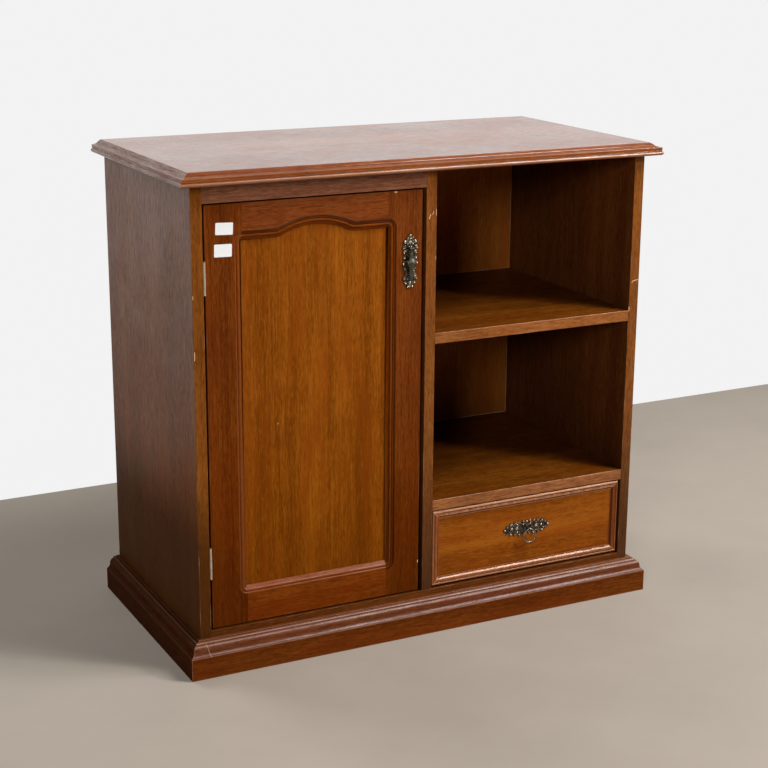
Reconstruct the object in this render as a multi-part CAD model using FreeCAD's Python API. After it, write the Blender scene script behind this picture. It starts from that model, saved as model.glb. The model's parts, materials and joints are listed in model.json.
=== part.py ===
import FreeCAD, Part
import math
import os

# Low cupboard: a framed door with an arched panel on the left, two open bays over a drawer on the
# right, a moulded top and a moulded plinth. Lengths are in millimetres. Z is up, X runs along the
# front, and the front faces -Y. The origin is the middle of the footprint, at floor level.

V = FreeCAD.Vector
X_AXIS = V(1, 0, 0)
Y_AXIS = V(0, 1, 0)
Z_AXIS = V(0, 0, 1)

# Carcass
carcass_width = 800.0
carcass_depth = 400.0
carcass_height = 770.0          # floor to the underside of the top
board_thick = 18.0
bottom_height = 50.0            # floor to the underside of the bottom board
upper_shelf_height = 488.5      # floor to the underside of the shelf between the open bays
drawer_shelf_height = 205.0     # floor to the underside of the shelf over the drawer
inner_shelf_height = 372.0      # floor to the underside of the loose shelf behind the door
inner_shelf_thick = 16.0
inner_shelf_setback = 45.0
inner_shelf_gap = 1.0
shelf_batten_thick = 12.0
shelf_batten_height = 20.0
shelf_batten_inset = 20.0
head_rail_height = 28.0
head_rail_thick = 18.0
base_rail_thick = 18.0
base_block_leg = 32.0
back_thick = 4.0
back_rebate_depth = 8.0
back_rebate_width = 9.0
back_gap = 0.5

# Stopped housings and tongues that join the carcass boards
housing_depth = 6.0
housing_stop = 14.0             # front edge of the carcass to the front end of each housing
tongue_thick = 9.0

# Top board and its moulded edge
top_thick = 20.0
top_lip = 4.0                   # how far the flat board passes the carcass
top_bead_out = 22.5
top_bead_foot = 19.6
top_bead_height = 7.0
top_quirk_depth = 0.7
top_quirk_height = 0.7
top_fillet_height = 5.3
top_cove_out = 11.0
top_cove_height = 2.6
top_cove_sag = 0.9
top_round_height = 3.9
top_round_in = 5.4
top_round_sag = 0.5

# Plinth moulding
plinth_out = 24.0
plinth_face_height = 36.5
plinth_height = 58.0
plinth_hollow_out = 18.0
plinth_hollow_height = 45.5
plinth_hollow_sag = 1.5
plinth_round_out = 13.6
plinth_round_height = 53.4
plinth_round_sag = 1.4
plinth_step = 1.2
plinth_bead_out = 12.4
plinth_bead_in = 7.2
plinth_bead_height = 56.4
plinth_bead_sag = 1.1
plinth_fillet_in = 6.0

# Door
door_recess = 4.0
door_thick = 20.0
door_gap_hinge = 4.6
door_gap_lock = 5.4
door_gap_top = 3.0
door_gap_bottom = 2.5
stile_width = 59.5
bottom_rail_height = 59.5
top_rail_height = 57.0          # at the shoulders of the arch
arch_half_width = 67.5
arch_rise = 15.5
arch_foot_radius = 30.0
panel_depth = 8.0               # door face to panel face
panel_thick = 6.0
panel_groove = 8.0
panel_gap = 1.0
tenon_length = 24.0
tenon_shoulder = 12.0
tenon_gap = 0.5

# Moulding run round the inside of the door frame, across its width and down from the door face:
# an outer round under a small rim, a quirk, a bead and a splay down to the panel
run_width = 14.5
run_rim = 0.5
run_round_width = 4.4
run_round_foot = 1.9
run_round_sag = 0.45
run_quirk_width = 0.8
run_quirk_depth = 2.6
run_bead_width = 4.4
run_bead_top = 1.5
run_step = 0.8
run_lip_depth = 6.6

# Butt hinges
hinge_length = 50.8
hinge_from_end = 83.5
hinge_leaf_width = 21.0
hinge_leaf_thick = 1.2
hinge_pin_radius = 1.0
hinge_pin_fit = 0.05
hinge_knuckle_radius = 2.0
hinge_pin_proud = 2.5           # hinge pin centre in front of the door face
hinge_knuckle_gap = 0.35
hinge_knuckle_count = 3
hinge_knuckle_sides = 12
hinge_leaf_relief = 0.4

# Countersunk screws of the hinges
screw_head_radius = 2.3
screw_head_length = 1.0
screw_radius = 1.2
screw_length = 13.0
screw_fit = 0.05
screw_sides = 8
hinge_screw_spacing = 31.0

# Magnetic catch
catch_from_top = 39.0           # top of the door to the middle of the catch
catch_length = 46.0
catch_width = 14.0
catch_depth = 16.0
catch_gap = 0.3
strike_length = 36.0
strike_width = 13.0
strike_thick = 1.2
strike_edge = 2.0

# Drawer
drawer_recess = 3.0
drawer_gap_side = 2.5
drawer_gap_bottom = 3.0
drawer_gap_top = 3.0
drawer_front_thick = 16.0
drawer_side_gap = 4.5
drawer_side_thick = 12.0
drawer_side_drop = 24.0         # top of the drawer front to the top of its sides
drawer_side_lift = 7.0
drawer_side_length = 335.0
drawer_housing = 5.0
drawer_bottom_thick = 4.0
drawer_bottom_lift = 8.0
drawer_bottom_groove = 5.0
drawer_bottom_gap = 0.4
runner_height = 14.0
runner_proud = 11.0
runner_lift = 42.0
runner_fit_side = 0.5
runner_fit_height = 0.35
runner_back_gap = 20.0
runner_stop_gap = 0.5

# Bead moulding on the drawer front
bead_width = 14.0
bead_proud = 4.0
bead_edge = 2.4
bead_round = 2.2
bead_flat = 3.6
bead_quirk = 0.8
bead_hollow_start = 9.8
bead_hollow_height = 3.0
bead_hollow_sag = 0.7
bead_lip = 0.7
bead_crown_sag = 0.8

# Pierced plates of the two pulls
plate_thick = 2.0
plate_scallop_share = 0.22
plate_hole_sides = 8
door_plate_length = 88.0
door_plate_width = 28.0
door_plate_from_lock = 21.6     # lock edge of the door to the middle of the plate
door_plate_from_top = 112.0     # top of the door to the middle of the plate
drawer_plate_length = 91.0
drawer_plate_width = 27.0
drawer_plate_lift = 8.0         # middle of the drawer front to the middle of its plate

# Each row is a cusp of the outline: the share of the plate's length from its crest, and the share
# of its half width. The other side mirrors it.
door_plate_cusp_shares = (
    (0.0, 0.0), (0.08, 0.4), (0.14, 0.32), (0.22, 0.86), (0.35, 0.72), (0.45, 0.88),
    (0.56, 0.84), (0.66, 0.54), (0.8, 0.84), (0.9, 0.64), (1.0, 0.0),
)
drawer_plate_cusp_shares = (
    (0.0, 0.0), (0.08, 0.6), (0.17, 0.9), (0.27, 0.62), (0.4, 0.93), (0.5, 0.78),
    (0.6, 0.93), (0.73, 0.62), (0.83, 0.9), (0.92, 0.6), (1.0, 0.0),
)
# Each row is a piercing: share of the length, share of the half width, and its radius as a share
# of the half width.
door_plate_hole_shares = (
    (0.2, 0.42, 0.13), (0.42, 0.48, 0.13), (0.59, 0.46, 0.12), (0.82, 0.44, 0.14),
)
drawer_plate_hole_shares = (
    (0.14, 0.4, 0.14), (0.33, 0.34, 0.13), (0.67, 0.34, 0.13), (0.86, 0.4, 0.14),
)

# Posts, nuts and the swinging parts of the pulls
post_radius = 2.0
post_fit = 0.05
fork_base_thick = 1.2
post_past_nut = 1.2
nut_across = 7.0
nut_thick = 3.0
drop_pivot_drop = 21.0          # pivot above the middle of the door plate
drop_pivot_out = 7.0            # pivot in front of the door face
fork_gap = 3.5
fork_cheek = 1.5
fork_radius = 2.4
drop_pin_radius = 0.85
drop_pin_fit = 0.05
drop_tab_thick = 2.8
drop_tab_radius = 2.3
drop_neck_radius = 1.3
drop_shoulder = 3.6
drop_bulb_down = 20.5
drop_bulb_radius = 8.3
drop_waist_down = 34.5
drop_waist_radius = 3.4
drop_knob_down = 45.0
drop_knob_radius = 5.0
drop_tip_down = 52.5
drop_tip_radius = 1.2
drop_flatness_share = 0.4
drop_levels = 3
drop_sides = 16
ring_radius = 11.5
ring_wire_radius = 1.5
ring_wire_sides = 8
ring_stations = 32
ring_pivot_out = 12.0           # ring plane in front of the drawer's recessed field
ring_eye_radius = 3.3
ring_eye_length = 3.0
ring_eye_hole = 1.9

overrun = 3.0                   # how far every cutting shape passes the face that it opens

# Places that several pieces share
side_out = carcass_width / 2
side_in = side_out - board_thick
divider_half = board_thick / 2
front = (plinth_out - carcass_depth) / 2
back = front + carcass_depth
back_panel_front = back - back_rebate_depth
bottom_top = bottom_height + board_thick
top_of_all = carcass_height + top_thick

door_left = -side_in + door_gap_hinge
door_right = -divider_half - door_gap_lock
door_low = bottom_top + door_gap_bottom
door_high = carcass_height - head_rail_height - door_gap_top
door_face = front + door_recess
door_back = door_face + door_thick
sight_left = door_left + stile_width
sight_right = door_right - stile_width
sight_low = door_low + bottom_rail_height
shoulder = door_high - top_rail_height
arch_middle = (sight_left + sight_right) / 2
panel_face = door_face + panel_depth
panel_back = panel_face + panel_thick

hinge_x = (door_left - side_in) / 2
hinge_y = door_face - hinge_pin_proud
hinge_lows = (door_low + hinge_from_end, door_high - hinge_from_end - hinge_length)

drawer_left = divider_half + drawer_gap_side
drawer_right = side_in - drawer_gap_side
drawer_low = bottom_top + drawer_gap_bottom
drawer_high = drawer_shelf_height - drawer_gap_top
drawer_field = front + drawer_recess + bead_proud
drawer_board_back = drawer_field + drawer_front_thick
drawer_middle = (drawer_left + drawer_right) / 2
drawer_centre = (drawer_low + drawer_high) / 2
box_left = divider_half + drawer_side_gap
box_right = side_in - drawer_side_gap
box_low = drawer_low + drawer_side_lift
box_high = drawer_high - drawer_side_drop
box_front = drawer_board_back - drawer_housing
box_back = box_front + drawer_side_length
box_floor = box_low + drawer_bottom_lift
runner_low = box_low + runner_lift

catch_height = door_high - catch_from_top
door_plate_height = door_high - door_plate_from_top
door_plate_x = door_right - door_plate_from_lock
drop_pivot = V(door_plate_x, door_face - drop_pivot_out, door_plate_height + drop_pivot_drop)
ring_pivot = V(drawer_middle, drawer_field - ring_pivot_out, drawer_centre + drawer_plate_lift)


def solid_of(shape):
    """The single solid of a cut or a fuse, with split faces merged."""
    return shape.removeSplitter().Solids[0]


def box(x0, x1, y0, y1, z0, z1):
    """A block between two corners."""
    return Part.makeBox(x1 - x0, y1 - y0, z1 - z0, V(x0, y0, z0))


def rod(start, direction, length, radius):
    """A round bar from a point along a direction."""
    return Part.makeCylinder(radius, length, start, direction)


def moved_along(point, direction, distance):
    """The point a distance away along a unit direction."""
    return point.add(V(direction).multiply(distance))


def outline(start, steps, place):
    """A closed face through lines and arcs. A step is its end point, or its (through, end) pair."""
    edges = []
    here = start
    for step in steps:
        if isinstance(step[0], tuple):
            through, there = step
            edges.append(Part.Arc(place(*here), place(*through), place(*there)).toShape())
        else:
            there = step
            edges.append(Part.LineSegment(place(*here), place(*there)).toShape())
        here = there
    edges.append(Part.LineSegment(place(*here), place(*start)).toShape())
    return Part.Face(Part.Wire(edges))


def bulge(a, b, sag):
    """The middle of an arc from a to b that rises by sag to the left of the way from a to b."""
    along = math.hypot(b[0] - a[0], b[1] - a[1])
    across = ((a[1] - b[1]) / along, (b[0] - a[0]) / along)
    return (a[0] + b[0]) / 2 + across[0] * sag, (a[1] + b[1]) / 2 + across[1] * sag


def strip(start, steps, run, mitre_start, mitre_end, reach, height):
    """A moulding along X whose section lies in (outward -Y, up Z). A mitre of 1 lengthens the end
    as it goes outward, -1 shortens it, and 0 cuts it square."""
    spare = reach + overrun
    section = outline(start, steps, lambda out, up: V(-spare, -out, up))
    bar = section.extrude(V(run + 2 * spare, 0, 0))
    near = -overrun
    corners = [
        V(-near * mitre_start, -near, -overrun),
        V(run + near * mitre_end, -near, -overrun),
        V(run + spare * mitre_end, -spare, -overrun),
        V(-spare * mitre_start, -spare, -overrun),
    ]
    plan = Part.Face(Part.makePolygon(corners + corners[:1]))
    return solid_of(bar.common(plan.extrude(V(0, 0, height + 2 * overrun))))


def turned(shape, axis, angle, x, y, z):
    """A copy turned about an axis through the origin and then moved."""
    copy = shape.copy()
    copy.rotate(V(0, 0, 0), axis, angle)
    copy.translate(V(x, y, z))
    return copy


def loop(centre, u, v, radius, sides):
    """Corners of a regular polygon round a centre, in the plane of two directions."""
    corners = []
    for corner in range(sides):
        angle = 2 * math.pi * corner / sides
        across = V(u).multiply(radius * math.cos(angle))
        corners.append(centre.add(across).add(V(v).multiply(radius * math.sin(angle))))
    return corners


def skin(loops, joined_up=False):
    """A solid through loops of corners, with flat faces between neighbours. Its ends are flat too,
    unless the last loop joins up with the first."""
    pairs = list(zip(loops[:-1], loops[1:]))
    faces = []
    if joined_up:
        pairs.append((loops[-1], loops[0]))
    else:
        faces = [Part.Face(Part.makePolygon(end + end[:1])) for end in (loops[0], loops[-1])]
    for here, there in pairs:
        for a, b, c, d in zip(here, here[1:] + here[:1], there[1:] + there[:1], there):
            faces.append(Part.Face(Part.makePolygon([a, b, c, d, a])))
    shell = Part.Shell(faces)
    shell.sewShape()
    body = Part.Solid(shell)
    if body.Volume < 0:
        body.reverse()
    return body


def screw(point, direction, fit=0.0):
    """A countersunk hinge screw whose flat head is at the point, or with a fit its hole."""
    across = direction.cross(Z_AXIS)
    stations = ((0, screw_head_radius), (screw_head_length, screw_radius),
                (screw_length + fit, screw_radius))
    return skin([loop(moved_along(point, direction, far), across, Z_AXIS, radius + fit, screw_sides)
                 for far, radius in stations])


pieces = {}

# Drawer runners, glued to the divider and the right side
runner_front = drawer_board_back + runner_stop_gap
runner_back = back_panel_front - runner_back_gap
for name, x in (("drawer_runner_left", divider_half),
                ("drawer_runner_right", side_in - runner_proud)):
    pieces[name] = box(x, x + runner_proud, runner_front, runner_back,
                       runner_low, runner_low + runner_height)

# Hinges: a frame leaf and a door leaf on a loose pin, with flush screws
hinge_pieces = {"frame": [], "door": []}
hinge_screws = {"frame": [], "door": []}
hinge_holes = {"frame": [], "door": []}
hinge_pins = []
knuckle_pitch = (hinge_length + hinge_knuckle_gap) / hinge_knuckle_count
knuckle_clear = hinge_knuckle_radius + hinge_leaf_relief


def hinge_leaf(low, inner_x, outer_x, first):
    """One leaf: a plate behind the pin, joined to every second knuckle round it."""
    plate = box(inner_x, outer_x, hinge_y + knuckle_clear, hinge_y + hinge_leaf_width,
                low, low + hinge_length)
    knuckles = []
    for place in range(first, hinge_knuckle_count, 2):
        start = V(hinge_x, hinge_y, low + place * knuckle_pitch)
        height = knuckle_pitch - hinge_knuckle_gap
        knuckles.append(skin([loop(moved_along(start, Z_AXIS, up), X_AXIS, Y_AXIS,
                                   hinge_knuckle_radius, hinge_knuckle_sides)
                              for up in (0, height)]))
        knuckles.append(box(inner_x, outer_x, hinge_y, hinge_y + knuckle_clear,
                            start.z, start.z + height))
    eye = rod(V(hinge_x, hinge_y, low - overrun), Z_AXIS, hinge_length + 2 * overrun,
              hinge_pin_radius + hinge_pin_fit)
    return plate.fuse(knuckles).cut(eye)


frame_leaf = (-side_in, -side_in + hinge_leaf_thick)
door_leaf = (door_left - hinge_leaf_thick, door_left)
for low in hinge_lows:
    screw_y = hinge_y + (knuckle_clear + hinge_leaf_width) / 2
    for level, leaf, x, way, first in (("frame", frame_leaf, frame_leaf[1], -1, 0),
                                       ("door", door_leaf, door_leaf[0], 1, 1)):
        holes = []
        for side in (-1, 1):
            head = V(x, screw_y, low + hinge_length / 2 + side * hinge_screw_spacing / 2)
            hinge_screws[level].append(screw(head, V(way, 0, 0)))
            holes.append(screw(head, V(way, 0, 0), screw_fit))
        hinge_pieces[level].append(solid_of(hinge_leaf(low, *leaf, first).cut(holes)))
        hinge_holes[level] += holes
    hinge_pins.append(rod(V(hinge_x, hinge_y, low), Z_AXIS, hinge_length, hinge_pin_radius))
for level in ("frame", "door"):
    pieces["hinge_" + level + "_leaves"] = Part.makeCompound(hinge_pieces[level])
    pieces["hinge_" + level + "_screws"] = Part.makeCompound(hinge_screws[level])
pieces["hinge_pins"] = Part.makeCompound(hinge_pins)

# Magnetic catch on the divider, and its strike plate on the back of the lock stile
catch_front = door_back + strike_thick + catch_gap
catch_low = catch_height - catch_length / 2
pieces["magnetic_catch"] = box(-divider_half - catch_width, -divider_half,
                               catch_front, catch_front + catch_depth,
                               catch_low, catch_low + catch_length)
strike_x = door_right - strike_edge - strike_width
pieces["catch_strike_plate"] = box(strike_x, strike_x + strike_width,
                                   door_back, door_back + strike_thick,
                                   catch_height - strike_length / 2,
                                   catch_height + strike_length / 2)

# Carcass boards: housings in the faces take the whole ends of the shelves and the bottom board,
# and tongues on the upright boards go up into the top
rebate_x = side_in + back_rebate_width
housing_front = front + housing_stop
housings = []
tongues = {}
for name, x0, x1, z in (("bottom_board", -side_in, side_in, bottom_height),
                        ("upper_shelf", divider_half, side_in, upper_shelf_height),
                        ("drawer_shelf", divider_half, side_in, drawer_shelf_height)):
    tongues[name] = box(x0 - housing_depth, x1 + housing_depth, housing_front,
                        back_panel_front, z, z + board_thick)
    housings.append(tongues[name])
for name, x in (("side_panel_left", -side_out + board_thick / 2), ("divider", 0),
                ("side_panel_right", side_out - board_thick / 2)):
    tongues[name] = box(x - tongue_thick / 2, x + tongue_thick / 2, housing_front,
                        back_panel_front - housing_stop, carcass_height,
                        carcass_height + housing_depth)
divider_foot = box(-tongue_thick / 2, tongue_thick / 2, housing_front, back_panel_front,
                   bottom_top - housing_depth, bottom_top)
board_cuts = housings + hinge_holes["frame"]
for name, side in (("side_panel_left", -1), ("side_panel_right", 1)):
    x0, x1 = sorted((side * side_in, side * side_out))
    panel = box(x0, x1, front, back, 0, carcass_height)
    rebate_x0, rebate_x1 = sorted((side * (side_in - overrun), side * rebate_x))
    rebate = box(rebate_x0, rebate_x1, back_panel_front, back + overrun,
                 bottom_height, carcass_height + overrun)
    pieces[name] = solid_of(panel.cut([rebate] + board_cuts).fuse(tongues[name]))
divider = box(-divider_half, divider_half, front, back_panel_front, bottom_top, carcass_height)
divider = divider.cut(board_cuts).fuse([tongues["divider"], divider_foot])
pieces["divider"] = solid_of(divider)
bottom_board = box(-side_in, side_in, front, back_panel_front, bottom_height, bottom_top)
bottom_board = bottom_board.fuse(tongues["bottom_board"]).cut(divider_foot)
pieces["bottom_board"] = solid_of(bottom_board)
for name, height in (("upper_shelf", upper_shelf_height), ("drawer_shelf", drawer_shelf_height)):
    shelf = box(divider_half, side_in, front, back_panel_front, height, height + board_thick)
    pieces[name] = solid_of(shelf.fuse(tongues[name]))
pieces["door_head_rail"] = box(-side_in, -divider_half, front, front + head_rail_thick,
                               carcass_height - head_rail_height, carcass_height)
pieces["inner_shelf"] = box(-side_in + inner_shelf_gap, -divider_half - inner_shelf_gap,
                            front + inner_shelf_setback, back_panel_front - inner_shelf_gap,
                            inner_shelf_height, inner_shelf_height + inner_shelf_thick)
for name, x in (("shelf_batten_left", -side_in),
                ("shelf_batten_right", -divider_half - shelf_batten_thick)):
    pieces[name] = box(x, x + shelf_batten_thick,
                       front + inner_shelf_setback + shelf_batten_inset,
                       back_panel_front - shelf_batten_inset,
                       inner_shelf_height - shelf_batten_height, inner_shelf_height)
back_half = rebate_x - back_gap
pieces["back_panel"] = box(-back_half, back_half, back_panel_front,
                           back_panel_front + back_thick,
                           bottom_height + back_gap, carcass_height - back_gap)

# Rails under the bottom board, and three-cornered glue blocks where they meet the sides
rail_back_y = back_panel_front - base_rail_thick
pieces["base_rail_front"] = box(-side_in, side_in, front, front + base_rail_thick,
                                0, bottom_height)
pieces["base_rail_back"] = box(-side_in, side_in, rail_back_y, back_panel_front,
                               0, bottom_height)
blocks = []
for side in (-1, 1):
    for y, way in ((front + base_rail_thick, 1), (rail_back_y, -1)):
        corner = V(side * side_in, y, 0)
        legs = [corner, corner.add(V(-side * base_block_leg, 0, 0)),
                corner.add(V(0, way * base_block_leg, 0))]
        face = Part.Face(Part.makePolygon(legs + legs[:1]))
        blocks.append(face.extrude(V(0, 0, bottom_height)))
pieces["base_corner_blocks"] = Part.makeCompound(blocks)

# Top board, with its moulding on three edges
top_board = box(-side_out - top_lip, side_out + top_lip, front - top_lip, back,
                carcass_height, top_of_all)
pieces["top_board"] = solid_of(top_board.cut(list(tongues.values())))
fillet_low = top_bead_height + top_quirk_height
fillet_high = fillet_low + top_fillet_height
fillet_out = top_bead_foot + top_quirk_depth
cove_end = (top_cove_out, fillet_high + top_cove_height)
round_end = (top_round_in, cove_end[1] + top_round_height)
cove_start = (fillet_out, fillet_high)
bead_start = (top_bead_foot, 0.0)
bead_end = (top_bead_foot, top_bead_height)
top_steps = [
    bead_start,
    ((top_bead_out, top_bead_height / 2), bead_end),
    (top_bead_foot, fillet_low),
    (fillet_out, fillet_low),
    cove_start,
    (bulge(cove_start, cove_end, top_cove_sag), cove_end),
    (bulge(cove_end, round_end, -top_round_sag), round_end),
    (top_round_in, top_thick),
    (top_lip, top_thick),
]
top_edge = ((top_lip, 0.0), top_steps)


def three_sides(name, start, steps, reach, height, z):
    """A moulding along the front, mitred into one that runs back along each side."""
    long_run = strip(start, steps, carcass_width, 1, 1, reach, height)
    side_run = strip(start, steps, carcass_depth, 0, 1, reach, height)
    other_run = strip(start, steps, carcass_depth, 1, 0, reach, height)
    pieces[name + "_front"] = turned(long_run, Z_AXIS, 0, -side_out, front, z)
    pieces[name + "_left"] = turned(side_run, Z_AXIS, -90, -side_out, back, z)
    pieces[name + "_right"] = turned(other_run, Z_AXIS, 90, side_out, front, z)


three_sides("top_moulding", *top_edge, top_bead_out, top_thick, carcass_height)

# Plinth moulding on the same three sides
hollow_start = (plinth_out, plinth_face_height)
hollow_end = (plinth_hollow_out, plinth_hollow_height)
round_top = (plinth_round_out, plinth_round_height)
bead_low = (plinth_bead_out, plinth_round_height + plinth_step)
bead_high = (plinth_bead_in, plinth_bead_height)
plinth_steps = [
    (plinth_out, 0.0),
    hollow_start,
    (bulge(hollow_start, hollow_end, plinth_hollow_sag), hollow_end),
    (bulge(hollow_end, round_top, -plinth_round_sag), round_top),
    (plinth_bead_out, plinth_round_height),
    bead_low,
    (bulge(bead_low, bead_high, -plinth_bead_sag), bead_high),
    (plinth_fillet_in, plinth_bead_height),
    (plinth_fillet_in, plinth_height),
    (0.0, plinth_height),
]
three_sides("plinth", (0.0, 0.0), plinth_steps, plinth_out, plinth_height, 0)

# Door: the sight line is the edge of the frame against the panel. The arch has a hollow foot at
# each end and a round crown, which meet where both have turned by the same angle.
arch_turn = 2 * math.atan(arch_rise / arch_half_width)
crown_radius = arch_half_width / math.sin(arch_turn) - arch_foot_radius
crown_centre = (arch_middle, shoulder + arch_rise - crown_radius)


def opening(grow, y0, y1):
    """The panel's opening as a solid from y0 to y1, with its outline grown outward."""
    high = shoulder + grow
    foot = arch_foot_radius - grow
    crown = crown_radius + grow
    left_foot = (arch_middle - arch_half_width, shoulder + arch_foot_radius)
    right_foot = (arch_middle + arch_half_width, shoulder + arch_foot_radius)

    def on_foot(centre, side, angle):
        return (centre[0] - side * foot * math.sin(angle), centre[1] - foot * math.cos(angle))

    def on_crown(angle):
        return (crown_centre[0] + crown * math.sin(angle),
                crown_centre[1] + crown * math.cos(angle))

    start = (sight_left - grow, sight_low - grow)
    steps = [
        (sight_left - grow, high),
        on_foot(left_foot, -1, 0),
        (on_foot(left_foot, -1, arch_turn / 2), on_foot(left_foot, -1, arch_turn)),
        (on_crown(0), on_crown(arch_turn)),
        (on_foot(right_foot, 1, arch_turn / 2), on_foot(right_foot, 1, 0)),
        (sight_right + grow, high),
        (sight_right + grow, sight_low - grow),
    ]
    return outline(start, steps, lambda x, z: V(x, y0, z)).extrude(V(0, y1 - y0, 0))


def run_cutter(start, heading, steps):
    """What the moulding takes away along a path on the door's face. The path is walked from start:
    a step is a straight length, or the radius and angle of a turn, clockwise from the front."""
    round_inner = run_width - run_round_width
    bead_outer = round_inner - run_quirk_width
    bead_inner = bead_outer - run_bead_width
    bead_middle = (bead_inner + bead_outer) / 2
    round_low = (round_inner, run_round_foot)
    round_high = (run_width, run_rim)
    profile = [
        (0.0, run_lip_depth),
        (bead_inner, run_quirk_depth + run_step),
        (bead_inner, run_quirk_depth),
        ((bead_middle, run_bead_top), (bead_outer, run_quirk_depth)),
        (round_inner, run_quirk_depth),
        round_low,
        (bulge(round_low, round_high, -run_round_sag), round_high),
        (run_width, -overrun),
    ]
    cutters = []
    here = start
    for length, turn in steps:
        across = V(-heading.z, 0, heading.x)

        def place(out, down, here=here, across=across):
            return here.add(V(across).multiply(out)).add(V(0, down, 0))

        section = outline((0.0, -overrun), profile, place)
        if turn == 0:
            cutters.append(section.extrude(V(heading).multiply(length)))
            here = here.add(V(heading).multiply(length))
            continue
        way = math.copysign(1, turn)
        centre = here.sub(V(across).multiply(way * length))
        cutters.append(section.revolve(centre, Y_AXIS, math.degrees(turn)))
        spin = FreeCAD.Rotation(Y_AXIS, math.degrees(turn))
        here = centre.add(spin.multVec(here.sub(centre)))
        heading = spin.multVec(heading)
    return cutters


sight_height = shoulder - sight_low
shoulder_run = arch_middle - arch_half_width - sight_left
quarter_turn = math.pi / 2
sight_steps = [
    (sight_height, 0),
    (0, quarter_turn),
    (shoulder_run, 0),
    (arch_foot_radius, -arch_turn),
    (crown_radius, 2 * arch_turn),
    (arch_foot_radius, -arch_turn),
    (shoulder_run, 0),
    (0, quarter_turn),
    (sight_height, 0),
    (0, quarter_turn),
    (sight_right - sight_left, 0),
    (0, quarter_turn),
]
run_cutters = run_cutter(V(sight_left, door_face, sight_low), Z_AXIS, sight_steps)
groove = opening(panel_groove, panel_face, panel_back)
clear_opening = opening(0, door_face - overrun, door_back + overrun)

# Posts of the pulls pass through the lock stile and the drawer front
drop_post_start = V(drop_pivot.x, door_face - plate_thick, drop_pivot.z)
drop_post_end = door_back + nut_thick + post_past_nut
ring_post_end = drawer_board_back + nut_thick + post_past_nut
post_holes = [
    rod(V(drop_pivot.x, door_face - plate_thick - overrun, drop_pivot.z), Y_AXIS,
        door_thick + plate_thick + 2 * overrun, post_radius + post_fit),
    rod(V(ring_pivot.x, drawer_field - plate_thick - overrun, ring_pivot.z), Y_AXIS,
        drawer_front_thick + plate_thick + 2 * overrun, post_radius + post_fit),
]

# Frame of the door: the rails' tenons sit in the line of the panel groove
tenons = {
    "low": (door_low + tenon_shoulder, sight_low - panel_groove),
    "high": (shoulder + panel_groove, door_high - tenon_shoulder),
}
mortises = [box(sight_left - tenon_length - tenon_gap, sight_right + tenon_length + tenon_gap,
                panel_face, panel_back, z0, z1) for z0, z1 in tenons.values()]
stile_cuts = run_cutters + [groove] + mortises + post_holes + hinge_holes["door"]
for name, x0, x1 in (("door_stile_hinge", door_left, sight_left),
                     ("door_stile_lock", sight_right, door_right)):
    stile = box(x0, x1, door_face, door_back, door_low, door_high)
    pieces[name] = solid_of(stile.cut(stile_cuts))
for name, z0, z1, tenon in (("door_rail_bottom", door_low, sight_low, tenons["low"]),
                            ("door_rail_top", shoulder, door_high, tenons["high"])):
    rail = box(sight_left, sight_right, door_face, door_back, z0, z1)
    tongue = box(sight_left - tenon_length, sight_right + tenon_length,
                 panel_face, panel_back, *tenon)
    pieces[name] = solid_of(rail.fuse(tongue).cut(run_cutters + [groove, clear_opening]))
pieces["door_panel"] = opening(panel_groove - panel_gap, panel_face, panel_back)

# Drawer box: sides housed in the front, the back between them, the bottom in grooves
dado_left = box(box_left, box_left + drawer_side_thick, box_front, drawer_board_back + overrun,
                box_low, box_high)
dado_right = box(box_right - drawer_side_thick, box_right, box_front,
                 drawer_board_back + overrun, box_low, box_high)
inner_left = box_left + drawer_side_thick
inner_right = box_right - drawer_side_thick
floor_space = box(inner_left - drawer_bottom_groove, inner_right + drawer_bottom_groove,
                  box_front, box_back + overrun, box_floor, box_floor + drawer_bottom_thick)
runner_fit_room = box(box_left + runner_proud - drawer_side_gap + runner_fit_side,
                      box_right - runner_proud + drawer_side_gap - runner_fit_side,
                      drawer_board_back, box_back + 2 * overrun,
                      runner_low - runner_fit_height, runner_low + runner_height + runner_fit_height)
runner_room = box(box_left - overrun, box_right + overrun, drawer_board_back,
                  box_back + overrun, runner_low - runner_fit_height,
                  runner_low + runner_height + runner_fit_height).cut(runner_fit_room)
drawer_board = box(drawer_left, drawer_right, drawer_field, drawer_board_back,
                   drawer_low, drawer_high)
pieces["drawer_front"] = solid_of(
    drawer_board.cut([dado_left, dado_right, floor_space] + post_holes))
for name, x0 in (("drawer_side_left", box_left), ("drawer_side_right", inner_right)):
    side_board = box(x0, x0 + drawer_side_thick, box_front, box_back, box_low, box_high)
    pieces[name] = solid_of(side_board.cut([floor_space, runner_room]))
pieces["drawer_back"] = box(inner_left, inner_right, box_back - drawer_side_thick, box_back,
                            box_floor + drawer_bottom_thick, box_high)
pieces["drawer_bottom"] = box(inner_left - drawer_bottom_groove + drawer_bottom_gap,
                              inner_right + drawer_bottom_groove - drawer_bottom_gap,
                              box_front + drawer_bottom_gap, box_back,
                              box_floor, box_floor + drawer_bottom_thick)

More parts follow.
